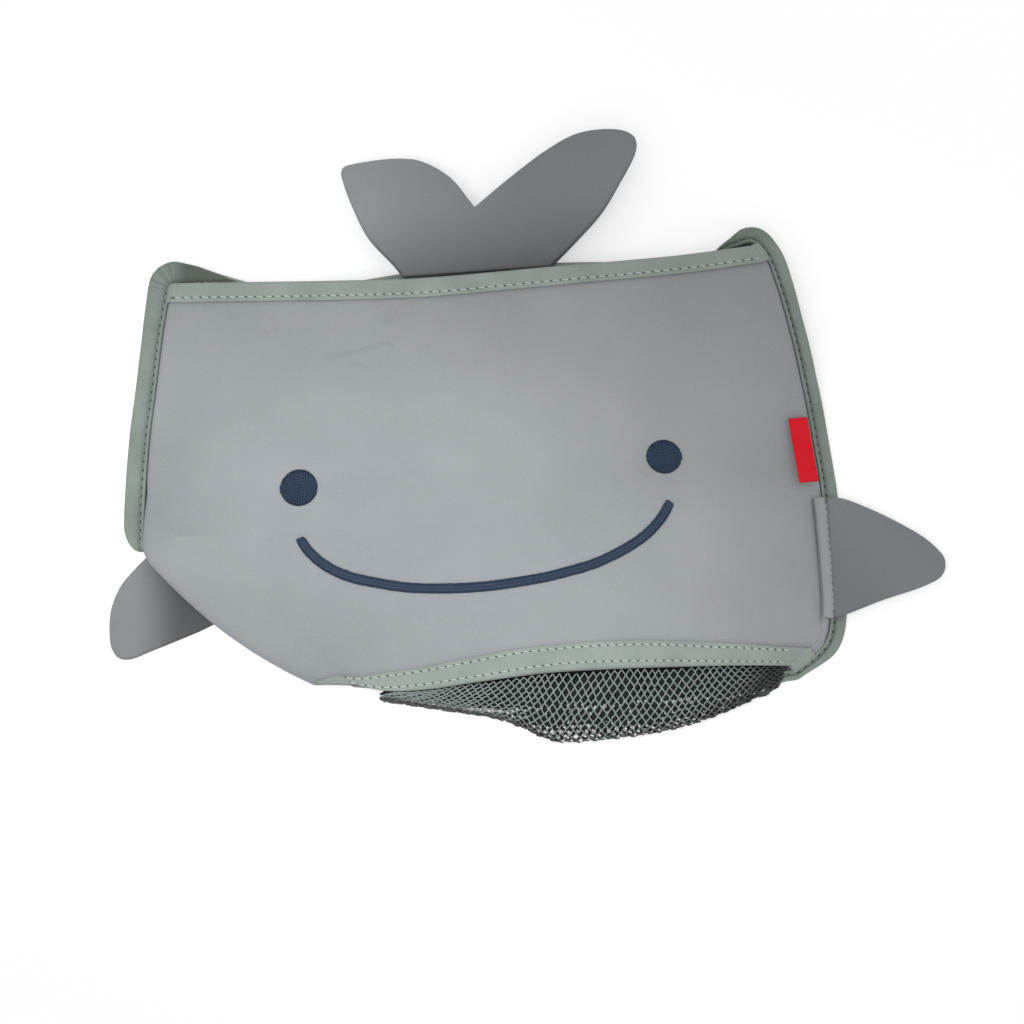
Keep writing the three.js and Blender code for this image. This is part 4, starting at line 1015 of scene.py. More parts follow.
def tapeHeight(deep, along, tape):
    # Height of a tape's face over its slot: a slow puff, a groove along each row of stitches and a pinch
    # at every needle hole.
    lift = tapes["puff"] * np.sin(np.pi * np.clip(deep / tape["width"], 0, 1))
    for row in tape["rows"]:
        pull = 1 - tapes["pull"] + tapes["pull"] * np.cos(2 * np.pi * along / tape["pitch"])
        lift = lift - tapes["groove"] * pull * bell(deep - row, tapes["grooveWidth"])
    return lift


def grownShare(tape, columns, a):
    # How much of its full width a tape has, where it starts narrower.
    start = tape.get("startWidth", tape["width"]) / tape["width"]
    return mix(start, 1, eased(a, columns[0], tape.get("full", columns[0] + 1e-6)))


def depthShares(place, edge, a, depths, deepest=0.16):
    # The second share at which a surface lies given depths in from its edge, column by column.
    shares = np.linspace(0, deepest, 65)
    lines = place(a[:, None], np.abs(edge - shares)[None])
    away = np.linalg.norm(lines - lines[:, :1], axis=-1)
    depths = np.broadcast_to(depths, (len(a), np.shape(depths)[-1]))
    return np.stack([np.interp(depths[k], away[k], shares) for k in range(len(a))])


def foldedTape(name, place, edge, tape, columns):
    # A U over a panel's edge: both arms lie on the panel and meet in a half round turn beyond it.
    slot = pouch["panel"] / 2 + tapes["slack"]
    outer = slot + tapes["thickness"]
    width, steps = tape["width"], tapes["armSteps"]
    arm = np.linspace(width, 0, steps)
    back = arm[::-1][:: tapes["fewer"]]
    turn = np.linspace(0, np.pi, tapes["noseSteps"])[1:-1]
    inner, few = turn[::3], np.ones(len(back))
    free, lower = [width - tapes["edgeIn"]], outer - tapes["edgeDown"]
    # Outside from the front arm's free edge round to the back arm's, then back along the inside.
    deep = np.concatenate([
        free, arm, -outer * tapes["nose"] * np.sin(turn), back, free,
        arm[:: tapes["fewer"]], -pouch["seatGap"] * np.sin(inner), back])
    high = np.concatenate([
        [lower], np.full(steps, outer), outer * np.cos(turn), -outer * few, [-lower],
        -slot * few, -slot * np.cos(inner), slot * few])
    face = (np.arange(len(deep)) > 0) & (np.arange(len(deep)) <= steps)
    a = np.asarray(columns)[:, None]
    depths = np.maximum(deep, 0) * grownShare(tape, columns, a)
    middle, _, down, normal = surfaceFrame(place, a, np.abs(edge - depthShares(place, edge, a[:, 0], depths)))
    alongMm = runLength(middle[:, 0])
    lift = tapeHeight(deep[None], alongMm[:, None], tape) * face[None]
    beyond = np.minimum(deep, 0) * (-1 if edge else 1)
    rings = middle + down * beyond[None, :, None] + normal * (high[None] + lift)[..., None]
    aroundMm = np.concatenate([[0], np.cumsum(np.hypot(np.diff(deep), np.diff(high))), [0]])
    aroundMm[-1] = aroundMm[-2] + 1
    piece = loftPiece(name, rings, alongMm, aroundMm, looks["tape"])
    return piece, (alongMm[-1] * 0.001, aroundMm[-2] / 2 * 0.001)


def tapeStitches(name, place, edge, tape, row, columns):
    # Lock stitches along one row of a tape: each thread rises in a bow between two needle holes, which
    # are short dark threads sunk in the groove.
    fine = np.linspace(columns[0], columns[-1], 1200)
    grown = grownShare(tape, columns, fine)
    b = np.abs(edge - depthShares(place, edge, fine, row * grown[:, None])[:, 0])
    middle, _, down, normal = surfaceFrame(place, fine, b)
    length = runLength(middle)
    starts = np.arange(tape["pitch"] * 0.5, length[-1] - tape["endClear"], tape["pitch"])
    starts = starts[np.interp(starts, length, grown) > 0.5]
    height = pouch["panel"] / 2 + tapes["slack"] + tapes["thickness"] + tapeHeight(
        np.float64(row), 0.0, dict(tape, rows=[]))
    t = np.linspace(0, 1, 5)
    at = starts[:, None] + tapes["holeLength"] * (t - 0.5)
    ups = between(at, length, normal)
    rise = height - tapes["holeSunk"] + tapes["holeBow"] * np.sin(np.pi * t)
    holes = threadPiece(name + "_holes", between(at, length, middle) + ups * rise[None, :, None], ups,
                        tapes["holeWidth"] / 2, tapes["holeHeight"] / 2, looks["hole"])
    settle(holes, "pouch", "thread")
    t = np.linspace(0, 1, 8)
    at = starts[:, None] + (tape["pitch"] - tapes["stitchLength"]) / 2 + tapes["stitchLength"] * t
    ups = between(at, length, normal)
    rise = height + (np.sin(np.pi * t) ** 0.7 * tapes["bow"] - tapes["sunk"])
    aside = ((t - 0.5) * tapes["slant"])[None, :, None]
    paths = between(at, length, middle) + ups * rise[None, :, None] + between(at, length, down) * aside
    return threadPiece(name, paths, ups, tapes["stitchWidth"] / 2, tapes["stitchHeight"] / 2,
                       looks["stitch"])


def makeTapes():
    # Three folded tapes, each with its rows of stitches.
    turn = pouch["turnShare"]
    plans = [  # name, node, surface, edge, and from where to where across
        ("front_top", "front_top_binding", frontPlace, 0, 0.6 * turn, 1 - 0.6 * turn),
        ("front_bottom", "front_bottom_tape", frontPlace, 1, 4.6 / 27, 1 - 0.45 * turn),
        ("back_top", "back_top_binding", backPlace, 0, 0.012, 0.965),
    ]
    for key, node, place, edge, start, end in plans:
        tape, columns = tapes[key], np.linspace(start, end, tapes["columns"])
        piece, flat = foldedTape(key + "_hem", place, edge, tape, columns)
        settle(piece, "pouch", "tape", node)
        for number, row in enumerate(tape["rows"]):
            stitches = tapeStitches(f"{key}_stitches_{number + 1}", place, edge, tape, row, columns)
            settle(stitches, "pouch", "thread")


makeTapes()
print("tapes made")

bands = {  # the sewn bands round the sides and bottom: a raised lip, a groove with stitches, a flat band
    "height": 5.8, "lipHeight": 7.8, "lipWidth": 1.9, "groove": 0.9, "grooveFloor": 5.0,
    "left": 11.0, "right": 8.5, "bottom": 8.5, "narrow": 3.3,
    "taperStart": 0.505, "leftEnd": 0.562, "bottomStart": 0.07, "bottomFull": 0.3, "bottomEnd": 0.985,
    "pitch": 4.3, "ripple": 0.48, "calm": 0.25, "calmOver": (34, 60),
    "wanders": [(0.6, 23.0), (0.4, 7.3)],  # how the ripples stray from the stitches: share and length
    "wave": 0.22, "waveLength": 11.0, "crown": 0.5, "leastRun": 0.4,
    "lipRound": 1.1, "grooveStep": 0.7, "edgeDrop": 1.9,
    "grooveAt": (0.15, 0.45, 0.8), "grooveRise": (0.6, 0.0, 0.4),  # out from the lip, up from the floor
    "edgeAt": (0.15, 0.2, -0.05), "edgeHeights": (2.4, 1.4, 0.4),  # out from the width, up from the panel
    "stitchLength": 1.5, "stitchWidth": 0.72, "stitchHeight": 0.4, "stitchRise": 0.5, "stitchSeat": 0.2,
    "cornerNarrowing": 0.46, "cornerWidth": 0.075,  # shares of the width and of the side's length
    "leftGrowth": (0.02, 0.15), "rightGrowth": (0.05, 0.2), "tip": 0.8, "tipPower": 2.2,
    # The top corners: how high the side runs, the bend's radius and angle, the run along the top, and
    # the widths round the bend and on along the top.
    "leftCorner": {"top": 0.6, "radius": 1.6, "angle": 88, "run": 41.0, "dip": 1.2,
                   "bend": (12.4, 13.6, 14.0), "on": (13.6, 11.6, 8.2, 4.4, 1.6)},
    "rightCorner": {"top": 0.4, "radius": 5.6, "angle": 76, "run": 19.0, "dip": 5.0,
                    "bend": (9.4, 9.6, 8.4), "on": (8.0, 6.4, 4.6, 3.0, 1.2)},
}


def bottomPlace(u, step=0.002):
    # The back panel's bottom edge, with its direction out of the pouch.
    at = backPlace(u, np.ones_like(u))[..., :2]
    ahead = backPlace(np.minimum(u + step, 1), np.ones_like(u))[..., :2]
    behind = backPlace(np.maximum(u - step, 0), np.ones_like(u))[..., :2]
    along = unit(ahead - behind)
    out = np.stack([along[..., 1], -along[..., 0]], -1)
    return at + out * pouch["seatGap"], out


def bottomWidth(u):
    # The bottom band's width, which narrows towards its hidden left end.
    return mix(bands["narrow"], bands["bottom"], eased(u, bands["bottomStart"], bands["bottomFull"]))


def cornerRun(at, side):
    # The band's way round a top corner, told from its far end: along the front tape's upper edge and
    # then down an arc to the side's first place. With it go the band's widths and its height shares.
    plan = bands[side + "Corner"]
    first = unit(at[0] - at[1])
    turn = 1 if side == "right" else -1
    angle = np.radians(np.linspace(0, plan["angle"], 24)) * turn
    centre = at[0] + plan["radius"] * np.array([-first[1], first[0]]) * turn
    spoke = at[0] - centre
    arc = centre + np.stack([
        spoke[0] * np.cos(angle) - spoke[1] * np.sin(angle),
        spoke[0] * np.sin(angle) + spoke[1] * np.cos(angle)], -1)
    heading = unit(arc[-1] - arc[-2])
    curve = curves["frontTop"]
    share = np.linspace(0, 1, 40)
    nearest = np.linalg.norm(curve["place"] - arc[-1], axis=-1).argmin()
    onTop = onCurve(curve, curve["share"][nearest] - turn * share * plan["run"] / curve["length"])
    straight = arc[-1] + heading * (share * plan["run"])[:, None]
    along = arc[-1] + onTop - onTop[0]
    on = mix(straight, along, smoothStep(share * 2)[:, None])
    on[:, 1] -= plan["dip"] * share**1.5

    def spread(values, n):
        return np.interp(np.linspace(0, 1, n), np.linspace(0, 1, len(values)), values)

    widths = np.concatenate([spread(plan["bend"], len(arc)), spread(plan["on"], len(on) - 1)])
    scales = np.concatenate([np.ones(len(arc)), 1 - 0.2 * smoothStep(share[1:])])
    path = np.concatenate([arc, on[1:]])
    return path[::-1][:-1], widths[::-1][:-1], scales[::-1][:-1]


def evenPath(at, values, spacing=0.5):
    # The same path with even steps, and values that go with its places.
    length = runLength(at)
    even = np.linspace(0, length[-1], int(length[-1] / spacing))
    spread = [np.interp(even, length, column) for column in [*at.T, *values]]
    return np.stack(spread[:2], -1), spread[2:], even


def bandSection(width, scale, along):
    # Section of a band at each place along it: s outwards and z up, both [place, point]. It goes over
    # the lip, through the groove, out over the face, which the stitches draw in near the groove, and back.
    lip = np.minimum(bands["lipWidth"], width / 3)
    run = np.maximum(width - lip - bands["groove"], bands["leastRun"])
    angle = np.linspace(np.pi, 0, 9)
    lipS = lip[:, None] * (0.5 + 0.5 * np.cos(angle))
    lipZ = bands["lipHeight"] - bands["lipRound"] + bands["lipRound"] * np.sin(angle) + 0 * lipS
    t = np.linspace(0, 1, 20)
    wander = sum(share * np.sin(along / length) for share, length in bands["wanders"])
    pull = 0.5 + 0.5 * np.cos(2 * np.pi * along / bands["pitch"] + wander)
    calm = bands["calm"] + (1 - bands["calm"]) * eased(along, *bands["calmOver"])
    ripple = -bands["ripple"] * (pull * calm)[:, None] * np.exp(-t * 6)
    slowWave = bands["wave"] * np.sin(along / bands["waveLength"])[:, None] * t
    crown = bands["crown"] * np.sin(np.pi * t**0.8)
    faceS = (lip + bands["groove"])[:, None] + run[:, None] * t
    drop = bands["edgeDrop"] * np.clip((t - 0.8) / 0.2, 0, 1) ** 2
    start = bands["grooveStep"] * np.exp(-t * 14)
    faceZ = bands["height"] - 0.5 + crown - drop - start + ripple + slowWave
    blank = 0 * lip[:, None]
    grooveS = lip[:, None] + bands["grooveAt"]
    grooveZ = blank + bands["grooveFloor"] + bands["grooveRise"]
    edgeS = width[:, None] + bands["edgeAt"]
    edgeZ = blank + bands["edgeHeights"]
    lastS = np.stack([width - 0.7, width / 2, 0 * width], -1)
    s = np.concatenate([blank, lipS, grooveS, faceS, edgeS, lastS], 1)
    z = np.concatenate([blank + 0.6, lipZ, grooveZ, faceZ, edgeZ, 0 * lastS], 1)
    return s, z * scale[:, None]


def makeBand(name, at, width, scale, turn, nodes):
    # A band along a flat path, evened out, whose section stands on the back panel's underside.
    at, (width, scale), along = evenPath(at, [width, scale])
    kernel = np.hanning(9) / np.hanning(9).sum()
    at = np.stack([
        np.convolve(np.pad(at[:, k], len(kernel) // 2, "edge"), kernel, "valid") for k in range(2)], -1)
    direction = unit(np.gradient(at, axis=0))
    out = np.stack([direction[:, 1], -direction[:, 0]], -1) * turn
    s, z = bandSection(width, scale, along)
    base = backLift(at[:, 1])[:, None]
    rings = np.concatenate([at[:, None] + out[:, None] * s[..., None], (base + z)[..., None]], -1)
    girth = np.hypot(np.diff(s, axis=1), np.diff(z, axis=1))
    around = np.concatenate([[0], np.cumsum(girth[len(girth) // 2])])
    around = np.append(around, around[-1] + 5)
    band = loftPiece(name, rings, along, around, looks["leftBand" if turn > 0 else "rightBand"])
    settle(band, "pouch", "tape", *nodes)
    starts = np.arange(2.0, along[-1] - 4, bands["pitch"])
    t = np.linspace(0, 1, 7)
    reach = starts[:, None] + bands["stitchLength"] * t
    lip = np.interp(reach, along, np.minimum(bands["lipWidth"], width / 3))
    flat = between(reach, along, at) + between(reach, along, out) * (lip + 0.5)[..., None]
    rise = bands["grooveFloor"] + bands["stitchSeat"] + bands["stitchRise"] * np.sin(np.pi * t)
    height = backLift(flat[..., 1]) + rise * np.interp(reach, along, scale)
    ups = np.zeros(flat.shape[:2] + (3,))
    ups[..., 2] = 1
    stitches = threadPiece(name + "_stitches", np.concatenate([flat, height[..., None]], -1), ups,
                           bands["stitchWidth"] / 2, bands["stitchHeight"] / 2, looks["darkStitch"])
    settle(stitches, "pouch", "thread")


def sideRun(side, values, width):
    # A side's path with the run round its top corner put before it, and the widths and heights there.
    place, inward, *_ = sideAt(side, values)
    at = place - inward * pouch["seatGap"]
    before, widths, scales = cornerRun(at, side)
    return np.concatenate([before, at]), np.concatenate([widths, width]), np.concatenate([
        scales, np.ones(len(at))])


def makeBands():
    # The left band tapers off before the roll; the right one goes on round the lower corner along the
    # back's bottom edge.
    values = np.linspace(shareDown("left", bands["leftCorner"]["top"]), bands["leftEnd"], 420)
    grown = mix(bands["leftCorner"]["bend"][0], bands["left"], eased(values, *bands["leftGrowth"]))
    end = np.clip((values - bands["taperStart"]) / (bands["leftEnd"] - bands["taperStart"]), 0, 1)
    width = bands["tip"] + (grown - bands["tip"]) * np.sqrt(1 - end ** bands["tipPower"])
    makeBand("left_band", *sideRun("left", values, width), 1, ["left_side_binding"])
    values = np.linspace(shareDown("right", bands["rightCorner"]["top"]), 1, 500)
    width = mix(bands["rightCorner"]["bend"][0], bands["right"], eased(values, *bands["rightGrowth"]))
    at, widths, scales = sideRun("right", values, width)
    u = np.linspace(bands["bottomEnd"], bands["bottomStart"], 400)
    bottom, _ = bottomPlace(u)
    corner = bands["cornerNarrowing"] * bell(np.concatenate([1 - values, 1 - u]), bands["cornerWidth"])
    widths = np.concatenate([widths, bottomWidth(u)])
    widths[-len(corner):] *= 1 - corner
    makeBand("right_band", np.concatenate([at, bottom]), widths,
             np.concatenate([scales, np.ones_like(u)]), -1, ["right_side_binding", "back_bottom_binding"])


makeBands()
print("bands made")

# Net bottom

net = {  # warp-knit net of zigzag yarns, mm
    "yarns": 104, "halfRows": 20, "steps": 7, "touch": 0.44, "flat": 1.3,
    "widths": [(0.53, 0.66), (0.61, 1.7)], "liningWidths": [(0.36, 1.8), (0.46, 0.9)],  # by the second share
    "middleHeight": 12.0, "seatLift": 1.9, "startShare": 0.05, "thickness": 1.2, "bandEnd": 0.93,
    "hemThickness": 0.5, "hemUnder": 8.0, "hemEnd": 0.96, "hemSeat": 0.75, "hemInset": 0.4, "hemDrop": 1.2,
    "gather": 0.45, "fineGather": 0.08, "rowDrift": 0.01, "fineDrift": 0.005, "wobble": 0.3, "under": 0.4,
    "liningOver": (0.04, 0.48), "liningSunk": 1.5,
    "flatSize": (0.235, 0.068), "flatHem": 0.0155,  # metres
    "areaShares": (0.31, 1.6),  # the least and the most of the flat size that the yarns cover
}


def netPlace(w, q):
    # The net's middle surface: half a turn from the tape over the outline down to the back's band.
    w, q = np.broadcast_arrays(np.asarray(w, float), np.asarray(q, float))
    tapeC = mix(pouch["turnShare"] + net["startShare"], 1 - pouch["turnShare"], w)
    place, _, down, _ = surfaceFrame(frontPlace, tapeC, np.ones_like(w))
    start = place + down * (tapes["thickness"] + 2 * pouch["seatGap"] + net["thickness"] / 2)
    u = mix(bands["bottomStart"], net["bandEnd"], w)
    band, out = bottomPlace(u)
    end = band + out * (bottomWidth(u) + 4 * pouch["seatGap"] + net["thickness"])[..., None]
    end = np.concatenate([end, (backLift(end[..., 1]) + net["seatLift"])[..., None]], -1)
    middle = onCurve(curves["net"], w)
    height = np.minimum(net["middleHeight"], (start[..., 2] + end[..., 2]) / 2)
    first = (q <= 0.5)[..., None]
    source = np.where(first, start, end)
    swing, rise = np.sin(np.pi * q), np.abs(np.cos(np.pi * q))
    flat = middle + (source[..., :2] - middle) * (1 - swing)[..., None]
    z = height + rise * (source[..., 2] - height)
    return np.concatenate([flat, z[..., None]], -1)


def evenRows():
    # For columns of the net, its second share at even lengths along it.
    even = np.linspace(0, 1, 241)
    w, q = np.meshgrid(np.linspace(0, 1, 60), even, indexing="ij")
    lengths = [runLength(row) for row in netPlace(w, q)]
    return np.array([np.interp(even, length / length[-1], even) for length in lengths])


def netYarns(name, table, shift, sink, start, end, wide, material):
    # Each yarn swings between its two neighbours and lies beside one of them at every turn. The gathers
    # draw yarns and rows together and apart by slow sines, and every other yarn lies a little under.
    steps = net["steps"]
    rows = int(round((end - start) * net["halfRows"]))
    b = start * net["halfRows"] + np.linspace(0, rows, rows * steps + 1)
    yarns = np.arange(net["yarns"])[:, None]
    saw = 1 - 2 * np.abs(((b + shift) % 2) - 1)
    swing = np.clip(saw * net["flat"], -1, 1) * net["touch"]
    side = np.where(yarns % 2 == 0, 1, -1)
    gather = net["gather"] * np.sin(yarns * 0.33 + shift) * np.sin(b * 0.4 + yarns * 0.1)
    gather = gather + net["fineGather"] * np.sin(yarns * 2.9 + b * 1.3)
    w = np.clip((yarns + 0.5 + side * swing + gather) / net["yarns"], 0, 1)
    s = b / net["halfRows"] + net["rowDrift"] * np.sin(yarns * 0.27 + 1.0 + shift)
    s = np.clip(s + net["fineDrift"] * np.sin(yarns * 1.9), 0, 1)
    column = np.clip((yarns[:, 0] + 0.5) / net["yarns"] * (len(table) - 1), 0, len(table) - 1)
    low = np.minimum(column.astype(int), len(table) - 2)
    lines = mix(table[low], table[low + 1], (column - low)[:, None])
    q = np.stack([np.interp(s[k], np.linspace(0, 1, lines.shape[1]), lines[k]) for k in range(len(lines))])
    paths = netPlace(w, q)
    _, _, _, normals = surfaceFrame(netPlace, w, q)
    wobble = net["wobble"] * np.sin(yarns * 1.3 + b * 0.9) - sink
    wobble = wobble - net["under"] * np.sin(np.pi * q) ** 2 * (yarns % 2)
    paths = paths + normals * wobble[..., None]
    thick = np.interp(q, *zip(*wide)) / 2
    run = np.linalg.norm(np.diff(paths, axis=1), axis=-1).sum()
    return threadPiece(name, paths, normals, thick, thick * 0.8, material, taper=0.9), run


def makeNet():
    # The net and its lining, whose dark colour is painted shade inside the pouch. The yarns cover half their
    # skin, an ellipse's girth for each.
    table = evenRows()
    piece, run = netYarns("net_yarns", table, 0.0, 0.0, 0.0, 1.0, net["widths"], looks["net"])
    settle(piece, "pouch", "net", "mesh_bottom")
    lining, _ = netYarns("net_lining", table, 1.0, net["liningSunk"], *net["liningOver"], net["liningWidths"],
                         looks["netPaintedShade"])
    settle(lining, "pouch", "net")
    flat = net["flatSize"]
    half = run * (net["widths"][0][1] + net["widths"][1][1]) / 2 * 0.9 * math.pi / 2 * 1e-6
    least, most = [share * flat[0] * flat[1] for share in net["areaShares"]]
    min(max(half, least), most)


def makeNetHem():
    # The net's folded hem, sewn flat on the back's bottom band and reaching up inside the pouch. Its dark
    # colour is painted shade.
    u = mix(bands["bottomStart"], net["hemEnd"], np.linspace(0.0, 1.0, 160))
    place, out = bottomPlace(u)
    width = bottomWidth(u)
    t = np.linspace(0, 1, 14)
    reach = mix(-net["hemUnder"] * np.ones_like(width)[:, None], (width - net["hemInset"])[:, None], t)
    flat = place[:, None] + out[:, None] * reach[..., None]
    drop = net["hemDrop"] * np.clip((t - 0.86) / 0.14, 0, 1) ** 2
    z = backLift(flat[..., 1]) + (bands["height"] + net["hemSeat"] + 0.12 * np.sin(reach * 1.4) - drop)
    top = np.concatenate([flat, z[..., None]], -1)
    under = top - [0, 0, net["hemThickness"]]
    rings = np.concatenate([top, under[:, ::-1]], 1)
    length = runLength(place)
    piece = loftPiece("net_hem", rings, length, np.linspace(0, 34, rings.shape[1] + 1), looks["netPaintedShade"])
    settle(piece, "pouch", "net")


makeNetHem()
makeNet()
print("net made")


# Tail and flippers: two layers of neoprene each

layers = {  # widths and heights in mm, outlines as shares of them
    "thickness": 2.4, "gap": 0.3, "edgeRound": 1.15, "edge": 0.22, "inset": 0.35,
    "wave": 0.22, "waveLengths": (9.0, 13.0), "waveFrom": 8, "puff": 0.35, "puffFrom": 6,
    "tail": {"width": 152.0, "height": 73.0, "notch": 12, "centre": (3.0, 12.4), "shares": [
        (-0.248, 0), (-0.275, 0.09), (-0.358, 0.32), (-0.405, 0.56), (-0.43, 0.74),
        (-0.436, 0.825), (-0.424, 0.857), (-0.395, 0.872), (-0.28, 0.892), (-0.225, 0.887),
        (-0.166, 0.86), (-0.072, 0.727), (0.006, 0.488), (0.123, 0.678), (0.26, 0.877),
        (0.362, 0.981), (0.461, 1.003), (0.534, 0.973), (0.563, 0.915), (0.56, 0.829),
        (0.49, 0.571), (0.428, 0.38), (0.342, 0.194), (0.243, 0)]},
    "right_flipper": {"width": 58.5, "height": 61.0, "notch": None, "centre": (20.0, 0.0), "shares": [
        (0, 0.5), (0.13, 0.49), (0.38, 0.392), (0.655, 0.251), (0.832, 0.141), (0.949, 0.034),
        (0.996, -0.034), (0.998, -0.125), (0.958, -0.189), (0.802, -0.261), (0.43, -0.367),
        (0.074, -0.484), (0, -0.5)]},
    "left_flipper": {"width": 46.0, "height": 51.0, "notch": None, "centre": (22.0, -4.0), "puff": 0,
                     "shares": [
        (0, 0.5), (0.35, 0.4), (0.66, 0.28), (0.93, 0.17), (1.16, 0.07), (1.23, -0.02), (1.21, -0.13),
        (1.14, -0.22), (0.92, -0.4), (0.66, -0.5), (0.36, -0.52), (0.13, -0.51), (0, -0.5)]},
}
hinges = {  # a place on each base seam in the CAD's frame, and the directions of its layers, mm
    "tail": ((6.0, 152.1, 16.4), (1, 0, 0), (0, 0.99452, -0.10453), (0, 0.10453, 0.99452)),
    "right_flipper": ((171.30326, -4.396, 8.0), (0.99231, -0.02177, -0.12187), (0.02194, 0.99976, 0),
                      (0.12184, -0.00267, 0.99255)),
    "left_flipper": ((-144.80718, 9.24374, 0.0), (-0.73614, -0.67683, 0), (0.67683, -0.73614, 0),
                     (0, 0, 1)),
}
creases = {  # short folds in the face of a layer: from, to, depth, width
    "tail": [((0.9, 34.6), (0.5, 31.5), 0.25, 1.0)],
    "right_flipper": [((-1.0, 24.0), (7.0, 27.0), 0.3, 1.6)],
    "left_flipper": [((1.0, -14.0), (16.0, -21.0), 0.5, 2.4)],
}


def layerOutline(plan):
    # A closed outline with points every 0.7 mm, anticlockwise; a notch stays sharp.
    points = np.array(plan["shares"]) * [plan["width"], plan["height"]]
    if plan["notch"]:
        runs = [points[: plan["notch"] + 1], points[plan["notch"]:]]
    else:
        runs = [points]
    dense = []
    for run in runs:
        curve = smoothCurve(run)
        dense.append(onCurve(curve, np.linspace(0, 1, int(curve["length"] / 0.7))))
    base = np.linspace(dense[-1][-1], dense[0][0], 60)[1:-1]
    outline = np.concatenate([dense[0], *[d[1:] for d in dense[1:]], base])
    area = np.sum(outline[:, 0] * np.roll(outline[:, 1], -1) - outline[:, 1] * np.roll(outline[:, 0], -1))
    return outline if area > 0 else outline[::-1]


def distanceTo(points, outline):
    # How far each point lies from the nearest side of a closed outline, worked out in parts to save memory.
    starts, ends = outline, np.roll(outline, -1, axis=0)
    run = ends - starts
    best = np.full(len(points), 1e9)
    for part in np.array_split(np.arange(len(points)), max(1, len(points) // 1500)):
        here = points[part][:, None] - starts
        t = np.clip((here * run).sum(-1) / np.maximum((run**2).sum(-1), 1e-9), 0, 1)
        best[part] = np.linalg.norm(here - run * t[..., None], axis=-1).min(-1)
    return best


def makeLayer(body, part):
    # A sheet in rings round a middle, close together at its edge, where its thickness is rounded.
    plan, front = layers[body], part == "front"
    outline = layerOutline(plan)
    tangent = unit(np.roll(outline, -1, 0) - np.roll(outline, 1, 0))
    inwards = np.stack([-tangent[:, 1], tangent[:, 0]], -1)
    base = np.abs(outline[:, 1] if body == "tail" else outline[:, 0]) < 0.05
    if front:
        outline = outline + inwards * np.where(base, 0, layers["inset"])[:, None]
    centre = np.array(plan["centre"])
    fine = 1 - np.array([0, 0.0025, 0.006, 0.011, 0.018, 0.027, 0.04, 0.06, 0.09])
    shares = np.concatenate([fine, np.linspace(0.87, 0.05, 24)])
    grid = centre + shares[:, None, None] * (outline - centre)[None]
    rows, columns = grid.shape[:2]
    away = distanceTo(grid.reshape(-1, 2), outline).reshape(rows, columns)
    away[0] = 0
    half = layers["thickness"] / 2
    rounded = np.sqrt(np.maximum(1 - (1 - np.minimum(away / layers["edgeRound"], 1)) ** 2, 0))
    height = half * (layers["edge"] + (1 - layers["edge"]) * rounded)
    x, y = grid[..., 0], grid[..., 1]
    lengthX, lengthY = layers["waveLengths"]
    wave = layers["wave"] * np.sin(x / lengthX + 0.7) * np.sin(y / lengthY + 0.4)
    wave = wave * np.minimum(away / layers["waveFrom"], 1)
    lift = np.zeros_like(x)
    if front:
        puff = layers["puff"] * np.minimum(away / layers["puffFrom"], 1) ** 1.5
        lift += (wave + puff) * plan.get("puff", 1)
        for start, end, depth, width in creases[body]:
            lift -= depth * bell(lineDistance(x, y, [start, end])[0], width)
    middle = half if not front else 1.5 * layers["thickness"] + layers["gap"]
    origin, across, up, out = [np.array(v, float) for v in hinges[body]]
    origin = origin - [0, pouch["restDrop"], 0]

    def placed(z):
        return origin + x[..., None] * across + y[..., None] * up + z[..., None] * out

    piece = discPiece(f"{body}_{part}_cloth", placed(middle + height + lift), placed(middle - height), grid,
                      looks[body])
    settle(piece, body, "tail_neoprene", f"{body}_{part}_layer")


for body in ("tail", "right_flipper", "left_flipper"):
    for part in ("back", "front"):
        makeLayer(body, part)
print("tail and flippers made")


# Rolled base seams of the flippers

welts = {  # mm; the right one's top is a share of the pouch's height, its sides shares of the turned edge
    "width": 5.0, "height": 3.6, "top": -0.608, "base": 61.0, "first": 0.62, "last": 1.01, "leftLength": 51.0,
    "endHeight": 0.72, "swell": 0.05, "flatShare": 0.52,
    "stitchPitch": 3.4, "stitchLength": 2.5, "stitchWidth": 0.9, "stitchHeight": 0.2,
    "stitchBow": 0.03, "stitchSunk": 0.06, "stitchFrom": 0.05, "stitchSlant": 0.5,
}


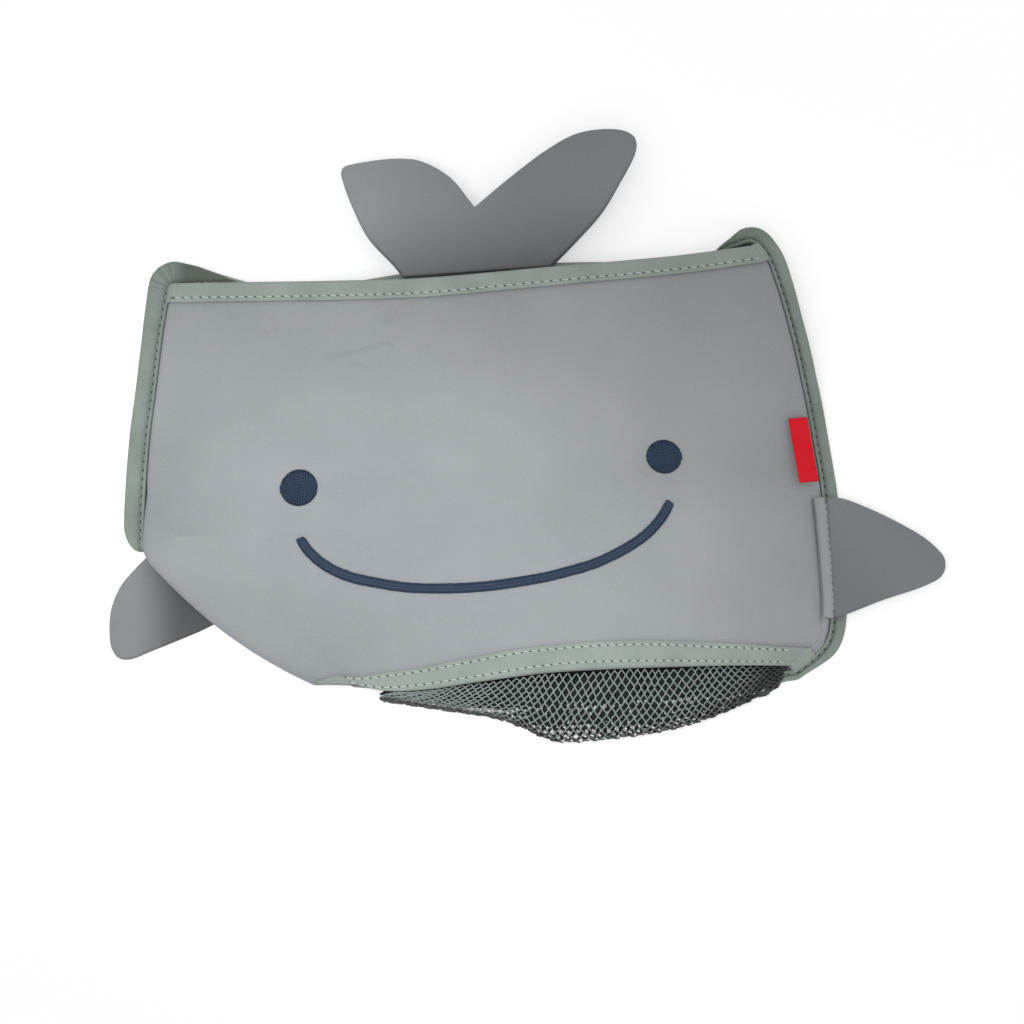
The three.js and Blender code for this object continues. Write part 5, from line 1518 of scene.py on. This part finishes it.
def makeRightWelt():
    # A roll on the front panel's turned edge, with a row of stitches pressed into its skin.
    top = welts["top"] * pouch["height"]
    ends = [shareDown("right", y) for y in (top, top - welts["base"])]
    v = mix(*[(end - frontStart["right"]) / (1 - frontStart["right"]) for end in ends], np.linspace(0, 1, 90))
    t = np.linspace(0, 1, 14)
    turn = mix(welts["first"], welts["last"], t)
    c = 1 - pouch["turnShare"] * turn
    place, _, _, normal = surfaceFrame(lambda a, b: frontPlace(a, b, relief=False), c[None], v[:, None])
    along = runLength(place[:, 7])
    low = welts["endHeight"]
    ends = low + (1 - low) * np.sqrt(1 - np.abs(np.linspace(-1, 1, 90)) ** 12)
    swell = (1 + welts["swell"] * np.sin(along / 4.0)) * ends
    rise = welts["height"] * np.sin(np.pi * (0.08 + 0.86 * t)) ** 0.55 * swell[:, None]
    seat = pouch["panel"] / 2 + pouch["seatGap"]
    under = place + normal * seat
    upper = place + normal * (seat + rise)[..., None]
    rings = np.concatenate([under, upper[:, ::-1]], 1)
    around = np.linspace(0, 18, rings.shape[1] + 1)
    piece = loftPiece("right_welt_roll", rings, along, around, looks["panel"])
    settle(piece, "pouch", "neoprene", "right_flipper_welt")
    starts = np.arange(2.0, along[-1] - 3, welts["stitchPitch"])
    s = np.linspace(0, 1, 7)
    reach = starts[:, None] + welts["stitchLength"] * s
    rows = [between(reach, along, upper[:, row]) for row in (5, 7)]
    path = mix(*rows, (welts["stitchFrom"] + welts["stitchSlant"] * s)[None, :, None])
    ups = np.zeros_like(path)
    ups[..., 0], ups[..., 2] = 0.6, 0.8
    path += ups * (welts["stitchBow"] * np.sin(np.pi * s) - welts["stitchSunk"])[None, :, None]
    stitches = threadPiece("right_welt_stitches", path, ups, welts["stitchWidth"] / 2,
                           welts["stitchHeight"] / 2, looks["darkStitch"])
    settle(stitches, "pouch", "thread")


def makeLeftWelt():
    # A plain roll beside the hidden base seam, with a squarish section.
    origin, out, along, _ = [np.array(v, float) for v in hinges["left_flipper"]]
    origin = origin - [0, pouch["restDrop"], 0]
    half = welts["leftLength"] / 2
    steps = np.linspace(-half, half, 50)
    angle = np.linspace(0, 2 * np.pi, 20, endpoint=False)
    across, height = [
        welts[key] / 2 * (1 + np.sign(wave) * np.abs(wave) ** 0.6)
        for key, wave in (("width", np.cos(angle)), ("height", np.sin(angle)))]
    rings = (origin + steps[:, None, None] * along - (pouch["seatGap"] + across)[None, :, None] * out
             + height[None, :, None] * np.array([0, 0, 1.0]))
    piece = loftPiece("left_welt_roll", rings, steps + half, np.linspace(0, 14, 21), looks["panel"])
    settle(piece, "pouch", "neoprene", "left_flipper_welt")


makeRightWelt()
makeLeftWelt()
print("base seams made")


# Embroidery

smileStitch = {  # mm; the line's rounded ends are as wide as endShare of it
    "width": 5.4, "pitch": 0.56, "pad": 0.6, "threadWidth": 0.74, "threadHeight": 0.42,
    "slant": 0.35, "ragged": 0.16, "endShare": 0.62, "over": 0.12, "dip": 0.62, "uneven": 0.06,
    "padShare": 0.94,
    "section": [(-1, 0), (-0.99, 0.35), (-0.9, 0.7), (-0.7, 0.95), (-0.3, 1), (0.3, 1), (0.7, 0.95),
                (0.9, 0.7), (0.99, 0.35), (1, 0), (0.5, 0), (-0.5, 0)],
}
seatOnCloth = 0.12  # how far the pads lie over the front's face, mm


def makeEyes():
    # Each eye is a low dome of padding with upright satin threads over it, which dip at both ends.
    for (shareX, shareY), radius, side in zip(eyes["places"], eyes["radii"], ("left", "right")):
        centre = np.array([shareX * halfWidth, shareY * pouch["height"]])
        angle = np.linspace(0, 2 * np.pi, 64, endpoint=False)
        rings = np.concatenate([[1.0, 0.995, 0.97, 0.93], np.linspace(0.85, 0.05, 9)])
        x = centre[0] + radius * rings[:, None] * np.cos(angle)
        y = centre[1] + radius * rings[:, None] * np.sin(angle)
        dome = eyes["pad"] * np.sqrt(1 - np.minimum(rings, 0.999) ** 8)[:, None] + 0 * x
        top, under = [overFront(x, y, height)[0] for height in (seatOnCloth + dome, np.full_like(x, 0.02))]
        pad = discPiece(f"{side}_eye_pad", top, under, np.stack([x, y], -1), looks["satinPad"])
        settle(pad, "pouch", "thread", f"{side}_eye_embroidery")

        offsets = np.arange(-radius + 0.25, radius - 0.2, eyes["pitch"])
        reach = np.sqrt(radius**2 - offsets**2)
        t = np.linspace(-1, 1, 15)
        upper, lower = [reach + eyes["ragged"] * random.uniform(-0.4, 1.0, len(offsets)) for _ in range(2)]
        run = np.where(t[None] > 0, upper[:, None], lower[:, None]) * t[None]
        sway = random.uniform(-eyes["sway"], eyes["sway"], len(offsets))[:, None] * t[None]
        x, y = centre[0] + offsets[:, None] + sway, centre[1] + run
        height = seatOnCloth + eyes["pad"] + eyes["over"] - eyes["dip"] * np.abs(t)[None] ** 10 + 0 * x
        height = height + eyes["uneven"] * random.uniform(-1, 1, len(offsets))[:, None]
        paths, normals = overFront(x, y, height)
        threads = threadPiece(f"{side}_eye_threads", paths, normals, eyes["threadWidth"] / 2,
                              eyes["threadHeight"] / 2, looks["satin"], sides=8, taper=0.5)
        settle(threads, "pouch", "thread")


def smileLine(shares):
    # Places on the smile, its directions along and aside, and how much of its full width it has there.
    place, along = onCurve(curves["smile"], shares), unit(onCurve(curves["smile"], shares, "along"))
    full = mix(smileStitch["endShare"], 1, np.sqrt(1 - np.minimum(np.abs(2 * shares - 1), 1) ** 60))
    return place, along, np.stack([-along[:, 1], along[:, 0]], -1), full


def makeSmile():
    # A rounded pad along the smile, with satin threads across it side by side.
    length, half = curves["smile"]["length"], smileStitch["width"] / 2
    t = np.linspace(0, 1, 240)
    place, _, side, full = smileLine(t)
    section = np.array(smileStitch["section"])
    reach = half * smileStitch["padShare"] * full[:, None] * section[:, 0]
    flat = place[:, None] + side[:, None] * reach[..., None]
    height = 0.03 + section[:, 1] * (seatOnCloth + smileStitch["pad"]) + 0 * reach
    rings, _ = overFront(flat[..., 0], flat[..., 1], height)
    pad = loftPiece("smile_pad", rings, t * length, np.linspace(0, 11, 13), looks["satinPad"])
    settle(pad, "pouch", "thread", "smile_embroidery")

    count = int(length / smileStitch["pitch"])
    place, along, side, full = smileLine((np.arange(count) + 0.5) / count)
    s = np.linspace(-1, 1, 9)
    reach = half * full[:, None] * s[None]
    reach = reach * (1 + smileStitch["ragged"] / half * random.uniform(-0.6, 1, (count, 1)))
    slant = smileStitch["slant"] * s[None] * np.where(np.arange(count) % 2, 1, 0.6)[:, None]
    flat = place[:, None] + side[:, None] * reach[..., None] + along[:, None] * slant[..., None]
    height = seatOnCloth + smileStitch["pad"] + smileStitch["over"]
    height = height - smileStitch["dip"] * np.abs(s)[None] ** 5 + 0 * reach
    height = height + smileStitch["uneven"] * random.uniform(-1, 1, (count, 1))
    paths, normals = overFront(flat[..., 0], flat[..., 1], height)
    threads = threadPiece("smile_threads", paths, normals, smileStitch["threadWidth"] / 2,
                          smileStitch["threadHeight"] / 2, looks["satin"], sides=8, taper=0.5)
    settle(threads, "pouch", "thread")


makeEyes()
makeSmile()
print("embroidery made")


# Label

label = {  # bare woven ribbon folded once, mm
    "base": (166.1, -88.2, 14.094), "tip": (168.9, -121.1, 14.094),
    "width": 10.0, "innerZ": 17.225, "ply": 0.36, "apart": 0.22, "curl": 0.5, "cornerLift": 0.5,
}


def makeLabel():
    base, tip = np.array(label["base"]), np.array(label["tip"])
    length = np.linalg.norm(tip - base)
    along = (tip - base) / length
    inward = np.array([along[1], -along[0], 0])
    steps = np.linspace(0, 1, 60)
    width, inner = label["width"], label["apart"] / 2
    outer = label["ply"] + inner
    run = np.linspace(0, width - outer, 22)
    level = np.ones_like(run)
    nose = np.linspace(np.pi / 2, -np.pi / 2, 9)[1:-1]
    # Out along the upper face, round the fold, back below, then the same way inside.
    deep = np.concatenate([run, run[-1] + outer * np.cos(nose), run[::-1],
                           run, run[-1] + inner * np.cos(nose[::-1]), run[::-1]])
    high = np.concatenate([level * outer, outer * np.sin(nose), -level * outer,
                           -level * inner, inner * np.sin(nose[::-1]), level * inner])
    share = deep / width
    slope = (label["innerZ"] - base[2]) / width
    curl = label["curl"] * np.sin(np.pi * share)[None] * (0.6 + 0.4 * np.sin(np.pi * steps))[:, None]
    corner = label["cornerLift"] * (share**2)[None] * (np.abs(2 * steps - 1) ** 4)[:, None]
    z = base[2] + outer + deep * slope + high
    rings = base[:2] + steps[:, None, None] * length * along[:2] + deep[None, :, None] * inward[:2]
    rings = np.concatenate([rings, (z[None] + curl + corner)[..., None]], -1)
    around = np.concatenate([[0], np.cumsum(np.hypot(np.diff(deep), np.diff(high))), [0]])
    around[-1] = around[-2] + 0.4
    piece = loftPiece("bare_label", rings, steps * length, around, looks["label"])
    settle(piece, "label", "label", "woven_label")


makeLabel()
print("label made")


# Eyelets and suction cups


def lathe(name, profile, centre, turns, material, closed):
    # A profile of radii and heights turned about a vertical axis; an open one starts and ends on the axis.
    profile = np.asarray(profile, float)
    angle = np.linspace(0, 2 * np.pi, turns, endpoint=False)
    x = centre[0] + profile[:, :1] * np.cos(angle)
    y = centre[1] + profile[:, :1] * np.sin(angle)
    points = np.stack([x, y, np.broadcast_to(profile[:, 1:2], x.shape)], -1).reshape(-1, 3)
    index = np.arange(len(profile) * turns).reshape(len(profile), turns)
    faces = ringFaces(np.concatenate([index, index[:1]]) if closed else index)
    sets = [faces] if closed else [faces, np.stack([index[0][::-1], index[-1]])]
    uvs = [points[faces, :2] for faces in sets]
    return buildMesh(name, points, *turnedOut(points, sets, uvs), material)


def roundedProfile(corners, fillet=0.25, steps=5):
    # A closed profile whose corners are rounded by short quadratic curves.
    corners = np.asarray(corners, float)
    before, after = np.roll(corners, 1, 0), np.roll(corners, -1, 0)
    t = np.linspace(0, 1, steps)[:, None]
    rounded = []
    for last, here, following in zip(before, corners, after):
        start, end = [
            here + (other - here) / max(np.linalg.norm(other - here), 1e-9)
            * min(fillet, 0.45 * np.linalg.norm(other - here)) for other in (last, following)]
        rounded.append((1 - t) ** 2 * start + 2 * t * (1 - t) * here + t**2 * end)
    return np.concatenate(rounded)


def makeCups():
    # Each eyelet is two flanges joined through its hole; each cup goes from its hollow round its rim, up
    # its flared skirt and through the eyelet to a knob.
    low, high, gap = pouch["cupHeight"], pouch["cupHeight"] + pouch["panel"], pouch["seatGap"]
    flange, bore = cups["flangeThickness"], cups["bore"]
    eyeletCorners = [
        (bore, low - gap - flange), (cups["flange"], low - gap - flange), (cups["flange"], low - gap),
        (bore + cups["wall"], low - gap), (bore + cups["wall"], high + gap), (cups["flange"], high + gap),
        (cups["flange"], high + gap + flange), (bore, high + gap + flange)]
    under, over = low - 2 * gap - flange, high + 2 * gap + flange
    radius, hollow = cups["radius"], cups["hollow"]
    inside = onCurve(smoothCurve([
        (0.3, hollow), (0.35 * radius, 0.9 * hollow), (0.66 * radius, 0.45 * hollow),
        (radius - cups["rimWidth"], 0.0)]), np.linspace(0, 1, 22))
    skirt = onCurve(smoothCurve([(radius, cups["rimHeight"]), (0.62 * radius, 0.45 * under),
                                 (0.42 * radius, 0.78 * under), (cups["shoulder"], under - 0.3)]),
                    np.linspace(0, 1, 24))
    knobTop = over + cups["knobHeight"]
    stem = roundedProfile([
        (cups["shoulder"] - 0.2, under - 0.2), (cups["shoulder"] - 0.3, under), (cups["neck"], under),
        (cups["neck"], over), (cups["knob"], over), (cups["knob"], over + 0.7 * cups["knobHeight"]),
        (0.7 * cups["knob"], knobTop), (0.6, knobTop)], 0.5)[5:-5]
    rim = np.array([(radius - 0.5, 0.0), (radius - 0.12, 0.12), (radius, 0.5)])
    profile = np.concatenate([inside, rim, skirt, stem, [(0.4, knobTop)]])
    for number, place in enumerate(cupPlaces, 1):
        ring = lathe(f"eyelet_ring_{number}", roundedProfile(eyeletCorners), place, cups["turns"],
                     looks["eyelet"], True)
        settle(ring, "pouch", "eyelet", f"eyelet_{number}")
        cup = lathe(f"vinyl_cup_{number}", profile, place, cups["turns"], looks["vinyl"], False)
        settle(cup, f"cup_{number}", "cup", f"suction_cup_{number}")


makeCups()
print("eyelets and cups made")
